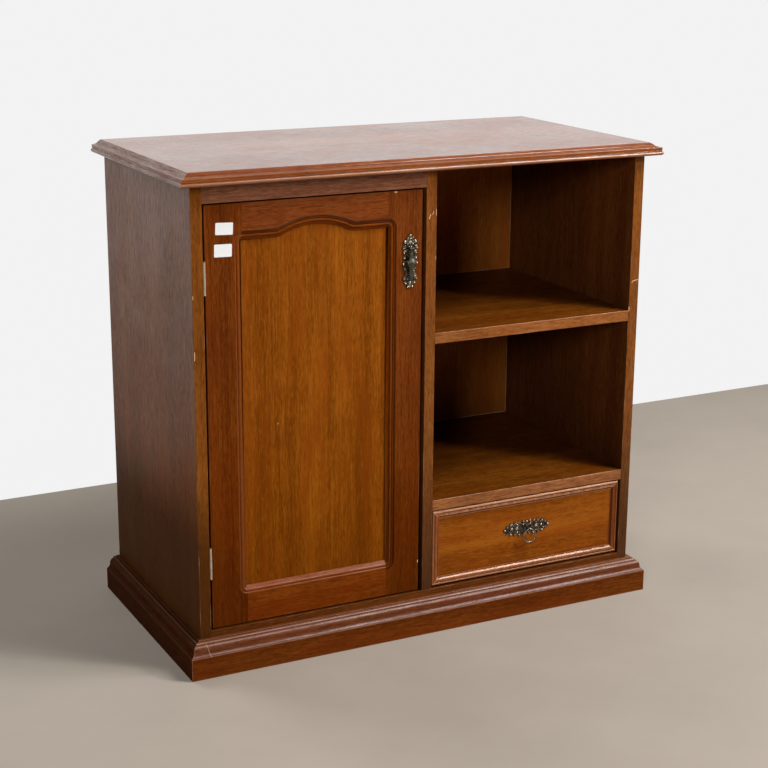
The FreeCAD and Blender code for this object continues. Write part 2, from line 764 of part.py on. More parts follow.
# Bead moulding glued round the drawer front, mitred at its four corners
crown_a = (bead_flat, bead_proud - bead_quirk)
crown_b = (bead_hollow_start, bead_hollow_height)
bead_inner_edge = (bead_width, bead_lip)
bead_steps = [
    (0.0, bead_edge),
    (bulge((0.0, bead_edge), (bead_round, bead_proud), bead_quirk / 2), (bead_round, bead_proud)),
    (bead_flat, bead_proud),
    crown_a,
    (bulge(crown_a, crown_b, bead_crown_sag), crown_b),
    (bulge(crown_b, bead_inner_edge, -bead_hollow_sag), bead_inner_edge),
    (bead_width, 0.0),
]
drawer_width = drawer_right - drawer_left
drawer_height = drawer_high - drawer_low
for name, run, angle, x, z in (
        ("top", drawer_width, 0, drawer_left, drawer_high),
        ("right", drawer_height, 90, drawer_right, drawer_high),
        ("bottom", drawer_width, 180, drawer_right, drawer_low),
        ("left", drawer_height, 270, drawer_left, drawer_low)):
    flat = strip((0.0, 0.0), bead_steps, run, -1, -1, bead_width, bead_proud)
    upright = turned(flat, X_AXIS, 90, 0, 0, 0)
    pieces["drawer_bead_" + name] = turned(upright, Y_AXIS, angle, x, drawer_field, z)


def plate(cusp_shares, hole_shares, length, width, place, y):
    """A cast plate with a scalloped edge and round piercings, its back against y. Both edges of the
    plate follow the same cusps, and place turns (along, across) into x and z."""
    half = width / 2
    right = [((along - 1 / 2) * length, across * half) for along, across in cusp_shares]
    left = [(along, -across) for along, across in right[-2:0:-1]]
    cusps = right + left + right[:1]
    edges = []
    for a, b in zip(cusps[:-1], cusps[1:]):
        sag = plate_scallop_share * math.hypot(b[0] - a[0], b[1] - a[1])
        through = bulge(a, b, sag)
        ends = [V(place(*p)[0], y, place(*p)[1]) for p in (a, through, b)]
        edges.append(Part.Arc(*ends).toShape())
    body = Part.Face(Part.Wire(edges)).extrude(V(0, -plate_thick, 0))
    holes = []
    for along, across, radius in hole_shares:
        for side in (-1, 1):
            x, z = place((along - 1 / 2) * length, side * across * half)
            holes.append(skin([loop(V(x, y + far, z), X_AXIS, Z_AXIS, radius * half,
                                    plate_hole_sides)
                               for far in (overrun, -plate_thick - overrun)]))
    return solid_of(body.cut(holes + post_holes))


pieces["door_pull_plate"] = plate(
    door_plate_cusp_shares, door_plate_hole_shares, door_plate_length, door_plate_width,
    lambda along, across: (door_plate_x + across, door_plate_height - along), door_face)
pieces["drawer_pull_plate"] = plate(
    drawer_plate_cusp_shares, drawer_plate_hole_shares, drawer_plate_length, drawer_plate_width,
    lambda along, across: (drawer_middle + along, ring_pivot.z + across), drawer_field)


def nut(x, y, z):
    """A hexagon nut that seats on the plane y and grows towards +Y."""
    corner = nut_across / 2 / math.cos(math.pi / 6)
    body = skin([loop(V(x, y + far, z), X_AXIS, Z_AXIS, corner, 6) for far in (0, nut_thick)])
    bore = rod(V(x, y - overrun, z), Y_AXIS, nut_thick + 2 * overrun, post_radius + post_fit)
    return solid_of(body.cut(bore))


# Door pull: a forked post with a cross pin, from which the drop hangs
fork_width = fork_gap + 2 * fork_cheek
fork_base = box(drop_pivot.x - fork_width / 2, drop_pivot.x + fork_width / 2,
                drop_post_start.y - fork_base_thick, drop_post_start.y,
                drop_pivot.z - fork_radius, drop_pivot.z + fork_radius)
drop_shank = rod(drop_post_start, Y_AXIS, drop_post_end - drop_post_start.y, post_radius)
cheeks = []
fork_depth = drop_post_start.y - drop_pivot.y
for side in (-1, 1):
    cheek_x = min(side * fork_gap / 2, side * (fork_gap / 2 + fork_cheek)) + drop_pivot.x
    eye = rod(V(cheek_x, drop_pivot.y, drop_pivot.z), X_AXIS, fork_cheek, fork_radius)
    arm = box(cheek_x, cheek_x + fork_cheek, drop_pivot.y, drop_pivot.y + fork_depth,
              drop_pivot.z - fork_radius, drop_pivot.z + fork_radius)
    cheeks += [eye, arm]
pin_start = V(drop_pivot.x - fork_width / 2, drop_pivot.y, drop_pivot.z)
pin_bore = rod(V(pin_start.x - overrun, pin_start.y, pin_start.z), X_AXIS,
               fork_width + 2 * overrun, drop_pin_radius + drop_pin_fit)
pieces["door_pull_post"] = solid_of(fork_base.fuse([drop_shank] + cheeks).cut(pin_bore))
pieces["door_pull_pin"] = rod(pin_start, X_AXIS, fork_width, drop_pin_radius)
pieces["door_pull_nut"] = nut(drop_pivot.x, door_back, drop_pivot.z)

# The drop is a tear shape with a knob under it, flattened from front to back, on a flat eye. Its
# half width goes from row to row of the table in steps of a half cosine.
tear_rows = (
    (drop_shoulder, drop_neck_radius),
    (drop_bulb_down, drop_bulb_radius),
    (drop_waist_down, drop_waist_radius),
    (drop_knob_down, drop_knob_radius),
    (drop_tip_down, drop_tip_radius),
)
rings = []
for (down, radius), (next_down, next_radius) in zip(tear_rows[:-1], tear_rows[1:]):
    for level in range(drop_levels):
        share = level / drop_levels
        ease = (1 - math.cos(math.pi * share)) / 2
        rings.append((down + (next_down - down) * share, radius + (next_radius - radius) * ease))
rings.append(tear_rows[-1])
flat_axis = V(0, drop_flatness_share, 0)
tear_body = skin([loop(moved_along(drop_pivot, Z_AXIS, -down), X_AXIS, flat_axis, radius, drop_sides)
                  for down, radius in rings])
tab_eye = rod(V(drop_pivot.x - drop_tab_thick / 2, drop_pivot.y, drop_pivot.z), X_AXIS,
              drop_tab_thick, drop_tab_radius)
tab_arm = box(drop_pivot.x - drop_neck_radius, drop_pivot.x + drop_neck_radius,
              drop_pivot.y - drop_neck_radius * drop_flatness_share,
              drop_pivot.y + drop_neck_radius * drop_flatness_share,
              drop_pivot.z - drop_shoulder, drop_pivot.z)
pieces["door_pull_drop"] = solid_of(tear_body.fuse([tab_eye, tab_arm]).cut(pin_bore))

# Drawer pull: a post with a barrel eye, and the ring that hangs through it
ring_shank = rod(ring_pivot, Y_AXIS, ring_post_end - ring_pivot.y, post_radius)
barrel_start = V(ring_pivot.x - ring_eye_length / 2, ring_pivot.y, ring_pivot.z)
barrel = rod(barrel_start, X_AXIS, ring_eye_length, ring_eye_radius)
barrel_bore = rod(V(barrel_start.x - overrun, barrel_start.y, barrel_start.z), X_AXIS,
                  ring_eye_length + 2 * overrun, ring_eye_hole)
pieces["drawer_pull_post"] = solid_of(
    ring_shank.fuse(barrel).cut(barrel_bore))
pieces["drawer_pull_nut"] = nut(ring_pivot.x, drawer_board_back, ring_pivot.z)
ring_centre = moved_along(ring_pivot, Z_AXIS, -ring_radius)
wire_loops = []
for station in range(ring_stations):
    angle = 2 * math.pi * station / ring_stations
    outward = V(math.sin(angle), 0, math.cos(angle))
    wire_loops.append(loop(moved_along(ring_centre, outward, ring_radius), outward, Y_AXIS,
                           ring_wire_radius, ring_wire_sides))
pieces["drawer_pull_ring"] = skin(wire_loops, joined_up=True)

os.makedirs("parts", exist_ok=True)
for name, shape in pieces.items():
    shape.exportStep("parts/" + name + ".step")
print(len(pieces), "pieces")
for name, place in (("door hinge", V(hinge_x, hinge_y, door_low)), ("drop pivot", drop_pivot),
                    ("ring pivot", ring_pivot)):
    print(name, [round(value, 4) for value in place])
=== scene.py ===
import json
import math
import bmesh
import bpy
import numpy as np
from mathutils import Matrix, Vector

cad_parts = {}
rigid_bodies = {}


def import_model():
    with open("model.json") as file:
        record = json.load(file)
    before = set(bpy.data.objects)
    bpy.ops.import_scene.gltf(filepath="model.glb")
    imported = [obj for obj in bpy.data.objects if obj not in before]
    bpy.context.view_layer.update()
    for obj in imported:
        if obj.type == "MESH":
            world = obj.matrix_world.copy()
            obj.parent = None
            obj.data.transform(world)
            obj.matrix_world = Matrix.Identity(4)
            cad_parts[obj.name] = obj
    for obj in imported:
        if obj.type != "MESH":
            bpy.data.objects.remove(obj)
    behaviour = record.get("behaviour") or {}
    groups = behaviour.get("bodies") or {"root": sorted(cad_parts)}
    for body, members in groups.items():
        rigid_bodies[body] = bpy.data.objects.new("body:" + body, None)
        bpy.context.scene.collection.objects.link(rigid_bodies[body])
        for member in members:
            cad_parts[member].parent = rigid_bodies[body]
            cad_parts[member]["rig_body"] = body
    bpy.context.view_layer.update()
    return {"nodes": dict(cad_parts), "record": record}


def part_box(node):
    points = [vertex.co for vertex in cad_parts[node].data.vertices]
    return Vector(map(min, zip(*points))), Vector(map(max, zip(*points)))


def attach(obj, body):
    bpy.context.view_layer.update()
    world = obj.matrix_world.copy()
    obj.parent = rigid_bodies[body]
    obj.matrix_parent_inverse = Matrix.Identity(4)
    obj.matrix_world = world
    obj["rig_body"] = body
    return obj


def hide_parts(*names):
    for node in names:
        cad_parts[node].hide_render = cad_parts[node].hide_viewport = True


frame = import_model()

# Rails and glue blocks of the base: planed, unstained softwood under the bottom board. They stiffen the
# sides and carry the weight to the floor, and the plinth hides them.
nodes = frame["nodes"]
slot_of = {part["node"]: part["material_slot"] for part in frame["record"]["subparts"]}
# The noises of a wood: a scale is how often one changes in a metre across the grain, and a stretch
# draws it out along the grain or, for ripple, across it.
band_stretch = {"X": (0.04, 1, 1), "Y": (1, 0.04, 1), "Z": (1, 1, 0.04)}
grain_stretch = {"X": (0.1, 1, 1), "Y": (1, 0.1, 1), "Z": (1, 1, 0.1)}
ripple_stretch = {"X": (1, 0.4, 0.4), "Y": (0.4, 1, 0.4), "Z": (0.4, 0.4, 1)}
shift_slant = (1.0, 0.7, 1.3)
band_scale = 26.0
sway_scale = 9.0
sway_reach = 0.016
streak_scale = 300.0
fibre_scale = 900.0
ripple_scale = 60.0
pore_scale = 620.0
pore_shift = 0.17
fleck_scale = 480.0
fleck_shift = 0.31
red_scale = 42.0
red_shift = 0.53
redness = (0.95, 0.66, 0.60)
blotch_scale = 5.0
stain_low = 0.22
stain_high = 0.78
polish_heights = (0.22, 0.72)
# Heights where the painted shade at the foot starts and is full.
foot_shade_heights = (0.45, 0.04)
ragged_scale = 160.0
patch_scale = 16.0
arris_reach = 0.0014
arris_full = 0.0002
arris_ragged = 0.0024
lipping_thick = 0.0012
dust_scale = 30.0
dust_thick = 0.0012
dust_colour = (0.42, 0.33, 0.22)
cloud_scale = 18.0
smear_scale = 9.0
relief_depth = 0.0001
scratch_scale = 900.0
# How far in from the door's outer edges the run's painted light and shade begin, and the reach of its dark
# quirk lines.
quirk_edge = 0.02
quirk_line_reach = 0.0005
bare_dark = (0.30, 0.17, 0.075)
bare_light = (0.55, 0.37, 0.19)
stain_worn = (0.62, 0.36, 0.20)


class Nodes:
    """A node tree with a short way to add nodes to it."""

    def __init__(self, tree):
        self.tree = tree

    def node(self, kind, settings, inputs, output=0):
        """Adds a node, gives it its settings and then its inputs, and returns one of its outputs."""
        made = self.tree.nodes.new(kind)
        for setting, value in settings.items():
            if setting == "stops":
                ramp = made.color_ramp.elements
                for place, (position, colour) in enumerate(value):
                    stop = ramp[place] if place < 2 else ramp.new(position)
                    stop.position = position
                    stop.color = (*colour, 1.0)
            else:
                setattr(made, setting, value)
        for socket, value in inputs.items():
            if isinstance(value, Field):
                self.tree.links.new(value.socket, made.inputs[socket])
            else:
                made.inputs[socket].default_value = value
        return Field(self, made.outputs[output])

    def place(self):
        """Where a point of the piece is in the cabinet's own frame, in metres."""
        return self.node("ShaderNodeTexCoord", {}, {}, "Object")

    def attribute(self, name):
        """A number that the piece's mesh holds at each point."""
        return self.node("ShaderNodeAttribute", {"attribute_name": name}, {}, "Fac")

    def noise(self, place, scale, detail=2.0, rough=0.5):
        """A cloudy number from 0 to 1 that changes about scale times a metre."""
        return self.node("ShaderNodeTexNoise", {},
                         {"Vector": place, "Scale": scale, "Detail": detail, "Roughness": rough}, "Fac")

    def ramp(self, field, stops):
        """The colour that a number picks between stops. Any third stop comes after the two outer ones."""
        return self.node("ShaderNodeValToRGB", {"stops": stops}, {0: field}, "Color")

    def blend(self, share, first, second):
        """One colour laid over another by a share."""
        colours = [(*c, 1.0) if isinstance(c, tuple) else c for c in (first, second)]
        return self.node("ShaderNodeMix", {"data_type": "RGBA"},
                         {0: share, 6: colours[0], 7: colours[1]}, 2)


class Field:
    """A socket of a finish. Python's operators on fields add the Math nodes that work them out."""

    def __init__(self, finish, socket):
        self.finish = finish
        self.socket = socket

    def sum_of(self, operation, *terms):
        """The operation on these terms, by numbers or by vectors as this field is one or the other."""
        if self.socket.type != "VECTOR":
            return self.finish.node("ShaderNodeMath", {"operation": operation}, dict(enumerate(terms)))
        terms = [(term,) * 3 if isinstance(term, (int, float)) else term for term in terms]
        return self.finish.node("ShaderNodeVectorMath", {"operation": operation}, dict(enumerate(terms)))

    def __add__(self, other):
        return self.sum_of("ADD", self, other)

    def __sub__(self, other):
        return self.sum_of("SUBTRACT", self, other)

    def __mul__(self, other):
        return self.sum_of("MULTIPLY", self, other)

    def __rsub__(self, other):
        return self.sum_of("SUBTRACT", other, self)

    __radd__ = __add__
    __rmul__ = __mul__

    def least(self, other):
        """The smaller of this number and another."""
        return self.sum_of("MINIMUM", self, other)

    def most(self, other):
        """The larger of this number and another."""
        return self.sum_of("MAXIMUM", self, other)

    def rise(self, low, high):
        """A smooth step from 0 at low to 1 at high, or back where low is the larger."""
        start, end, first, last = (low, high, 0.0, 1.0) if low < high else (high, low, 1.0, 0.0)
        return self.finish.node("ShaderNodeMapRange", {"interpolation_type": "SMOOTHSTEP"},
                                {0: self, 1: start, 2: end, 3: first, 4: last})

    def part(self, axis):
        """One component of a vector field."""
        return self.finish.node("ShaderNodeSeparateXYZ", {}, {0: self}, "XYZ".index(axis))

    def length(self):
        """The length of a vector field."""
        return self.finish.node("ShaderNodeVectorMath", {"operation": "LENGTH"}, {0: self}, "Value")

    def away(self, value):
        """How far a number is from a value, either way."""
        return self.finish.node("ShaderNodeMath", {"operation": "ABSOLUTE"}, {0: self - value})

    def from_line(self, start, end):
        """How far a place is from the line between two others: its share of the way along is the dot
        product with the line over the line's square, kept from 0 to 1."""
        run = Vector(end) - Vector(start)
        share = self.finish.node("ShaderNodeVectorMath", {"operation": "DOT_PRODUCT"},
                                 {0: self - start, 1: tuple(run / run.length_squared)}, "Value")
        foot = self.finish.node("ShaderNodeVectorMath", {"operation": "SCALE"},
                                {0: tuple(run), "Scale": share.most(0.0).least(1.0)})
        return (self - start - foot).length()


class Finish(Nodes):
    """A material in the making: a Principled shader whose sockets take constants and fields."""

    def __init__(self, name, **constants):
        self.material = bpy.data.materials.new(name)
        self.material.use_nodes = True
        super().__init__(self.material.node_tree)
        self.tree.nodes.clear()
        self.shader = self.tree.nodes.new("ShaderNodeBsdfPrincipled")
        surface = self.tree.nodes.new("ShaderNodeOutputMaterial")
        self.tree.links.new(self.shader.outputs["BSDF"], surface.inputs["Surface"])
        for socket, value in constants.items():
            self.shader.inputs[socket.replace("_", " ")].default_value = value

    def relief(self, height, depth):
        """Feeds the shader's normal with a height field that is depth metres deep."""
        self.varies("Normal", self.node("ShaderNodeBump", {}, {"Height": height, "Distance": depth}))

    def varies(self, socket, field):
        """Feeds one of the shader's sockets with a field."""
        self.tree.links.new(field.socket, self.shader.inputs[socket])


def scaled(values, share):
    """A colour or a place whose numbers are all times a share."""
    return tuple(value * share for value in values)


def arris_wear(finish, point, ragged, block, rub):
    """How far a board's arrises are rubbed, in patches. Each axis gives a point's distance to the
    nearer of two faces of the block, and the second least of the three says how near an arris it is."""
    reach = []
    for axis, low, high in zip("XYZ", *block):
        part = point.part(axis)
        reach.append((part - low).least(high - part))
    first, second, third = reach
    arris = first.least(second).most(first.most(second).least(third))
    patchy = finish.noise(point, patch_scale, 2.0).rise(0.5, 0.7)
    return (arris + ragged * arris_ragged).rise(arris_reach, arris_full) * (patchy + 0.08) * rub


def scratch_wear(finish, point, start, end, width):
    """The wear of a scratch: full near the line between its ends, gone a width away, and ragged."""
    rough_edge = finish.noise(point, scratch_scale, 2.0, 0.7) - 0.5
    return (point.from_line(start, end) + rough_edge * (width * 2.2)).rise(width, width * 0.6)


def dust_line(finish, point, ragged, axis, value, reach, face_axis, face):
    """Dust that lies in a thin broken line on a face, along a plane that crosses it."""
    near = (point.part(axis).away(value) + ragged * reach).rise(reach, reach * 0.2)
    near = near * point.part(face_axis).away(face).rise(dust_thick, dust_thick / 1.5)
    return near * finish.noise(point, dust_scale, 2.0).rise(0.3, 0.6) * 0.8


def wood(name, grain, dark, light, block=None, worn=stain_worn, figure=1.0, ripple=0.0, lined=False,
         rough=0.42, gloss=(0.02, 0.02), polish=polish_heights, film_rough=0.3, specular=0.02,
         tint=(1.0, 1.0, 1.0), pores=0.3, foot_shade=(0.0, *foot_shade_heights), rub=0.35, shift=0.0, moulded=0.0,
         lipping=None, quirk=None, marks=(), dust=()):
    """A stained wood whose grain runs along an axis.

    The grain is three noises stretched along the axis, for broad bands, streaks and fibres, and one
    stretched across it for ripple. Figure is how strong the bands are, and a lined wood has long
    streaks. Their sum picks a colour from the dark to the light stain. Short dashes where other noises
    are high are open pores and pale flecks, and wide ones are redder or darker patches.

    Gloss is the weight of the lacquer film below and above the two heights of polish, and tint is the
    hue of the light that the wood under it throws back. Foot shade is painted shade: the share by which
    the colour darkens towards the foot, where the light falls off, with the heights where it starts and
    is full. A block gives the low and high corners of a board whose arrises wear to the worn colour by
    the share rub. A moulded piece holds how far each point stands out, lies deep and is near a mitre, as
    crest, hollow and mitre. Its share says how pale its crests are painted: wear on the trims and a
    painted highlight on the drawer's bead. Its hollows are painted darker, as grime and painted shade.
    Lipping is the two colours and the film of the face that looks to the front. A quirk is the depths
    of the dark lines in the door's run, the door's low and high corners, whose outer edges stay free of
    them, the share of the lines and the film of the run. The lines are grime and painted shade, and
    where they are weak the run is painted lighter, as painted light. Marks are pale scratches, each
    given by its two ends and its width. Dust lies in lines, each given by the axis and place of a plane,
    the line's reach, and the axis and place of the face."""
    finish = Finish(name, Specular_IOR_Level=specular, Coat_Roughness=film_rough, Specular_Tint=(*tint, 1.0))

    # The grain of the wood and its stain.
    point = finish.place()
    place = point + scaled(shift_slant, shift)
    long = place * band_stretch[grain]
    short = place * grain_stretch[grain]
    sway = (finish.noise(long, sway_scale, 1.0) - 0.5) * sway_reach
    bands = finish.noise(long + sway, band_scale, 3.0) - 0.5
    streaks = finish.noise(long if lined else short, streak_scale, 3.0, 0.6) - 0.5
    fibres = finish.noise(short, fibre_scale, 2.0, 0.6) - 0.5
    tone = bands * figure + streaks * 0.95 + fibres * 1.15 + 0.5
    if ripple:
        tone = tone + (finish.noise(place * ripple_stretch[grain], ripple_scale, 3.0) - 0.5) * ripple
    middle = tuple((a + b) / 2 for a, b in zip(dark, light))
    colour = finish.ramp(tone, [(stain_low, dark), (stain_high, light), (0.5, middle)])
    red = finish.noise(short + red_shift, red_scale, 3.0, 0.6).rise(0.42, 0.66)
    colour = finish.blend(red * 0.55, colour, tuple(a * b for a, b in zip(middle, redness)))

    # The film, the lipping, and what lies in the grain.
    height = point.part("Z")
    climb = ((height - polish[0]) * (1 / (polish[1] - polish[0]))).most(0.0).least(1.0)
    film = climb * (gloss[1] - gloss[0]) + gloss[0]
    if lipping:
        lip_dark, lip_light, lip_film = lipping
        board_front = block[0][1]
        facing = point.part("Y").rise(board_front + lipping_thick, board_front + lipping_thick / 2)
        lip = finish.ramp(tone, [(stain_low, lip_dark), (stain_high, lip_light)])
        colour = finish.blend(facing, colour, lip)
        film = film + (lip_film - film) * facing
    blotch = finish.noise(place, blotch_scale, 3.0, 0.6).rise(0.35, 0.75)
    colour = finish.blend(blotch * 0.35, colour, scaled(dark, 0.85))
    fleck = finish.noise(short + fleck_shift, fleck_scale, 1.0).rise(0.62, 0.78)
    colour = finish.blend(fleck * 0.3, colour, scaled(light, 1.35))
    pore = finish.noise(short + pore_shift, pore_scale, 1.0).rise(0.58, 0.7)
    colour = finish.blend(pore * pores, colour, scaled(dark, 0.3))
    # Painted shade: the colour darkens towards the foot, where the light falls off.
    shade_share, shade_start, shade_full = foot_shade
    if shade_share:
        colour = finish.blend(height.rise(shade_start, shade_full) * shade_share, colour, scaled(dark, 0.35))

    # Wear, scratches and dust.
    ragged = finish.noise(point, ragged_scale, 3.0, 0.7) - 0.5
    wear = []
    if block:
        wear.append(arris_wear(finish, point, ragged, block, rub))
    if moulded:
        wear.append((finish.attribute("crest") + ragged * 0.9).rise(0.35, 1.0) * moulded)
        wear.append((finish.attribute("mitre") + ragged * 0.7).rise(0.5, 0.95) * 0.75)
        # Painted shade and dirt: the hollows of a moulding are darkened.
        hollow = (finish.attribute("hollow") + ragged * 0.5).rise(0.2, 0.8)
        colour = finish.blend(hollow * 0.6, colour, scaled(dark, 0.25))
    if quirk:
        depths, (left, _, foot), (right, _, head), quirk_shade, run_film = quirk
        across = point.part("X")
        edge = (across - left).least(right - across).least((height - foot).least(head - height))
        inside = edge.rise(quirk_edge, quirk_edge * 1.5)
        sunk = point.part("Y").rise(depths[0], depths[0] + quirk_line_reach) * inside
        # Painted light: where its dark lines are weak, on the lengths that face the light, the run is
        # lighter.
        colour = finish.blend(sunk * (0.4 - 0.4 * quirk_shade), colour, scaled(light, 1.2))
        # Dark lines in the quirks, partly dirt and partly painted shade.
        for depth in depths:
            line = point.part("Y").away(depth) + ragged * (quirk_line_reach * 0.6)
            dirt_and_shade_line = line.rise(quirk_line_reach * 1.2, quirk_line_reach * 0.3) * inside
            colour = finish.blend(dirt_and_shade_line * quirk_shade, colour, scaled(dark, 0.25))
        film = film + (run_film - film) * sunk
    wear += [scratch_wear(finish, point, *mark) for mark in marks]
    if wear:
        worst = wear[0]
        for share in wear[1:]:
            worst = worst.most(share)
        colour = finish.blend(worst, colour, worn)
    for line in dust:
        colour = finish.blend(dust_line(finish, point, ragged, *line), colour, dust_colour)

    # The shader's sockets.
    finish.varies("Base Color", colour)
    cloud = finish.noise(place, cloud_scale, 3.0)
    finish.varies("Roughness", cloud * 0.12 + pore * 0.15 + (rough - 0.06))
    smear = finish.noise(place, smear_scale, 3.0).rise(0.25, 0.75) * 0.4 + streaks * 2.2 + fibres * 1.6 + 0.8
    finish.varies("Coat Weight", film * smear)
    finish.relief(streaks * 0.4 + fibres * 0.35 - pore * 0.6, relief_depth)
    return finish.material


def stands_for(piece, *members):
    """The piece takes the place of these nodes: it moves with their body, and the nodes are hidden."""
    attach(piece, nodes[members[0]]["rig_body"])
    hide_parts(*members)
    return piece


def dress(node, material):
    """Gives a node that keeps its own shape its finish."""
    nodes[node].data.materials.clear()
    nodes[node].data.materials.append(material)


def edges_of(*members):
    """The low and high corners of the block that holds these nodes, as plain tuples."""
    corners = [[tuple(corner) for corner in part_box(node)] for node in members]
    low = tuple(min(pair[0][axis] for pair in corners) for axis in range(3))
    high = tuple(max(pair[1][axis] for pair in corners) for axis in range(3))
    return low, high


for node in ("base_rail_front", "base_rail_back", "base_corner_blocks"):
    dress(node, wood(node + "_wood", "X", bare_dark, bare_light, rough=0.6))

# Boards of the carcass: veneered panels with lipped front edges, their arrises eased with sandpaper
# and their faces stained red-brown and lacquered. Shelves and the bottom board are housed in the
# uprights, and the rail over the door closes the front up to the top.
arris_radius = 0.0007
merge_reach = 0.00001
flat_turn = math.radians(1)
sharp_turn = math.radians(40)
front_y = edges_of("side_panel_left")[0][1]
inner_x = edges_of("side_panel_right")[0][0]
panel_front = edges_of("back_panel")[0][1]
shelf_tops = [edges_of(node)[1][2] for node in ("upper_shelf", "drawer_shelf")]
side_dark = (0.110, 0.034, 0.006)
side_light = (0.235, 0.080, 0.017)
# The right side panel and the divider take a darker copy of the left side's stain, painted shade for the dim
# faces inside the bays.
inner_shaded_dark = (0.070, 0.020, 0.004)
inner_shaded_light = (0.160, 0.050, 0.011)
# The shelves, the bottom board and the loose shelf take a stain darker than the shelves' lips, painted shade
# for their shadowed tops.
shelf_shaded_dark = (0.066, 0.016, 0.001)
shelf_shaded_light = (0.182, 0.055, 0.005)
lip_dark = (0.135, 0.036, 0.004)
lip_light = (0.270, 0.084, 0.012)
shelf_lip_dark = (0.185, 0.050, 0.007)
shelf_lip_light = (0.370, 0.120, 0.020)
rail_dark = (0.110, 0.026, 0.003)
rail_light = (0.215, 0.060, 0.009)
head_dark = (0.158, 0.048, 0.019)
head_light = (0.305, 0.110, 0.047)
# Painted shade at the foot: none, and the share and heights for the left side.
unshaded_foot = (0.0, *foot_shade_heights)
side_foot_shade = (0.78, 0.34, 0.18)
divider_lip = (scaled(shelf_lip_dark, 0.88), scaled(shelf_lip_light, 0.88))
board_shift = 0.37
side_dust = 0.0010
shelf_dust = 0.0014
front_knocks = {
    "side_panel_left": (
        ((-0.3990, 0.601), (-0.3990, 0.606), 0.0006),
        ((-0.3985, 0.508), (-0.3985, 0.520), 0.0008),
    ),
    "side_panel_right": (
        ((0.386, 0.5545), (0.389, 0.5575), 0.0009),
        ((0.389, 0.5575), (0.397, 0.5585), 0.0009),
        ((0.3825, 0.507), (0.3825, 0.512), 0.0013),
    ),
    "divider": (
        ((-0.0040, 0.6925), (-0.0020, 0.6985), 0.0011),
        ((0.0020, 0.6985), (0.0035, 0.7035), 0.0007),
        ((0.0088, 0.697), (0.0086, 0.706), 0.0012),
        ((0.0088, 0.627), (0.0088, 0.632), 0.0010),
    ),
}
# Painted light: a pale spot in the back corner over the upper shelf, where light shows through a gap.
corner_light_spot = ((inner_x, panel_front, shelf_tops[0] + 0.0015),
               (inner_x, panel_front, shelf_tops[0] + 0.0040), 0.0018)


def on_face(face_y, knocks):
    """Knocks on an upright face: each one's ends are given by x and z, and the face is at face_y."""
    return [((x, face_y, z), (end_x, face_y, end_z), width) for (x, z), (end_x, end_z), width in knocks]


def merged(node):
    """A bmesh of a node's triangles with doubled corners merged and flat faces joined up."""
    shape = bmesh.new()
    shape.from_mesh(nodes[node].data)
    bmesh.ops.remove_doubles(shape, verts=shape.verts, dist=merge_reach)
    bmesh.ops.dissolve_limit(shape, angle_limit=flat_turn, verts=shape.verts, edges=shape.edges)
    return shape


def piece_of(name, shape, material):
    """Turns a bmesh into a piece, smooth but for the edges that turn by more than the sharp turn."""
    for face in shape.faces:
        face.smooth = True
    for edge in shape.edges:
        edge.smooth = len(edge.link_faces) == 2 and edge.calc_face_angle() < sharp_turn
    mesh = bpy.data.meshes.new(name)
    shape.to_mesh(mesh)
    shape.free()
    mesh.materials.append(material)
    piece = bpy.data.objects.new(name, mesh)
    bpy.context.scene.collection.objects.link(piece)
    return piece


def eased(node, material, radius=arris_radius):
    """A board with rounded arrises that stands for its node: a copy whose sharp edges are bevelled."""
    shape = merged(node)
    for edge in shape.edges:
        edge.smooth = False
    piece = piece_of(node + "_eased", shape, material)
    bevel = piece.modifiers.new("arris", "BEVEL")
    bevel.width = radius
    bevel.segments = 2
    bevel.limit_method = "ANGLE"
    bevel.angle_limit = sharp_turn
    bevel.harden_normals = True
    return stands_for(piece, node)


# Each board has its grain's axis, its two stains, the film at its foot and head, its lipping, its painted
# shade at the foot and the lines of dust on it.
for number, (node, grain, dark, light, gloss, lipping, foot_shade, dust) in enumerate((
        ("side_panel_left", "Z", side_dark, side_light, (0.0, 0.66), (lip_dark, lip_light, 0.0),
         side_foot_shade, ()),
        ("side_panel_right", "Z", inner_shaded_dark, inner_shaded_light, (0.0, 0.12), (lip_dark, lip_light, 0.36),
         (0.7, *foot_shade_heights), (("Y", panel_front, side_dust, "X", inner_x),)),
        ("divider", "Z", inner_shaded_dark, inner_shaded_light, (0.02, 0.10), (*divider_lip, 0.25),
         (0.85, *foot_shade_heights), ()),
        ("bottom_board", "X", shelf_shaded_dark, shelf_shaded_light, (0.05, 0.10), (rail_dark, rail_light, 0.1),
         (0.3, *foot_shade_heights), ()),
        ("upper_shelf", "X", shelf_shaded_dark, shelf_shaded_light, (0.05, 0.10),
         (shelf_lip_dark, shelf_lip_light, 0.7), unshaded_foot,
         (("Y", panel_front, shelf_dust, "Z", shelf_tops[0]),)),
        ("drawer_shelf", "X", shelf_shaded_dark, shelf_shaded_light, (0.02, 0.02),
         (shelf_lip_dark, shelf_lip_light, 1.0), unshaded_foot,
         (("Y", panel_front, shelf_dust, "Z", shelf_tops[1]),)),
        ("door_head_rail", "X", head_dark, head_light, (0.9, 0.9), (head_dark, head_light, 0.9), unshaded_foot, ()))):
    marks = on_face(front_y, front_knocks.get(node, ()))
    if node == "side_panel_right":
        marks.append(corner_light_spot)
    eased(node, wood(node + "_veneer", grain, dark, light, edges_of(node), shift=board_shift * number,
                     gloss=gloss, pores=0.5 if grain == "Z" else 0.3, ripple=0.0 if grain == "Z" else 0.4,
                     foot_shade=foot_shade, lipping=lipping, marks=marks, dust=dust))

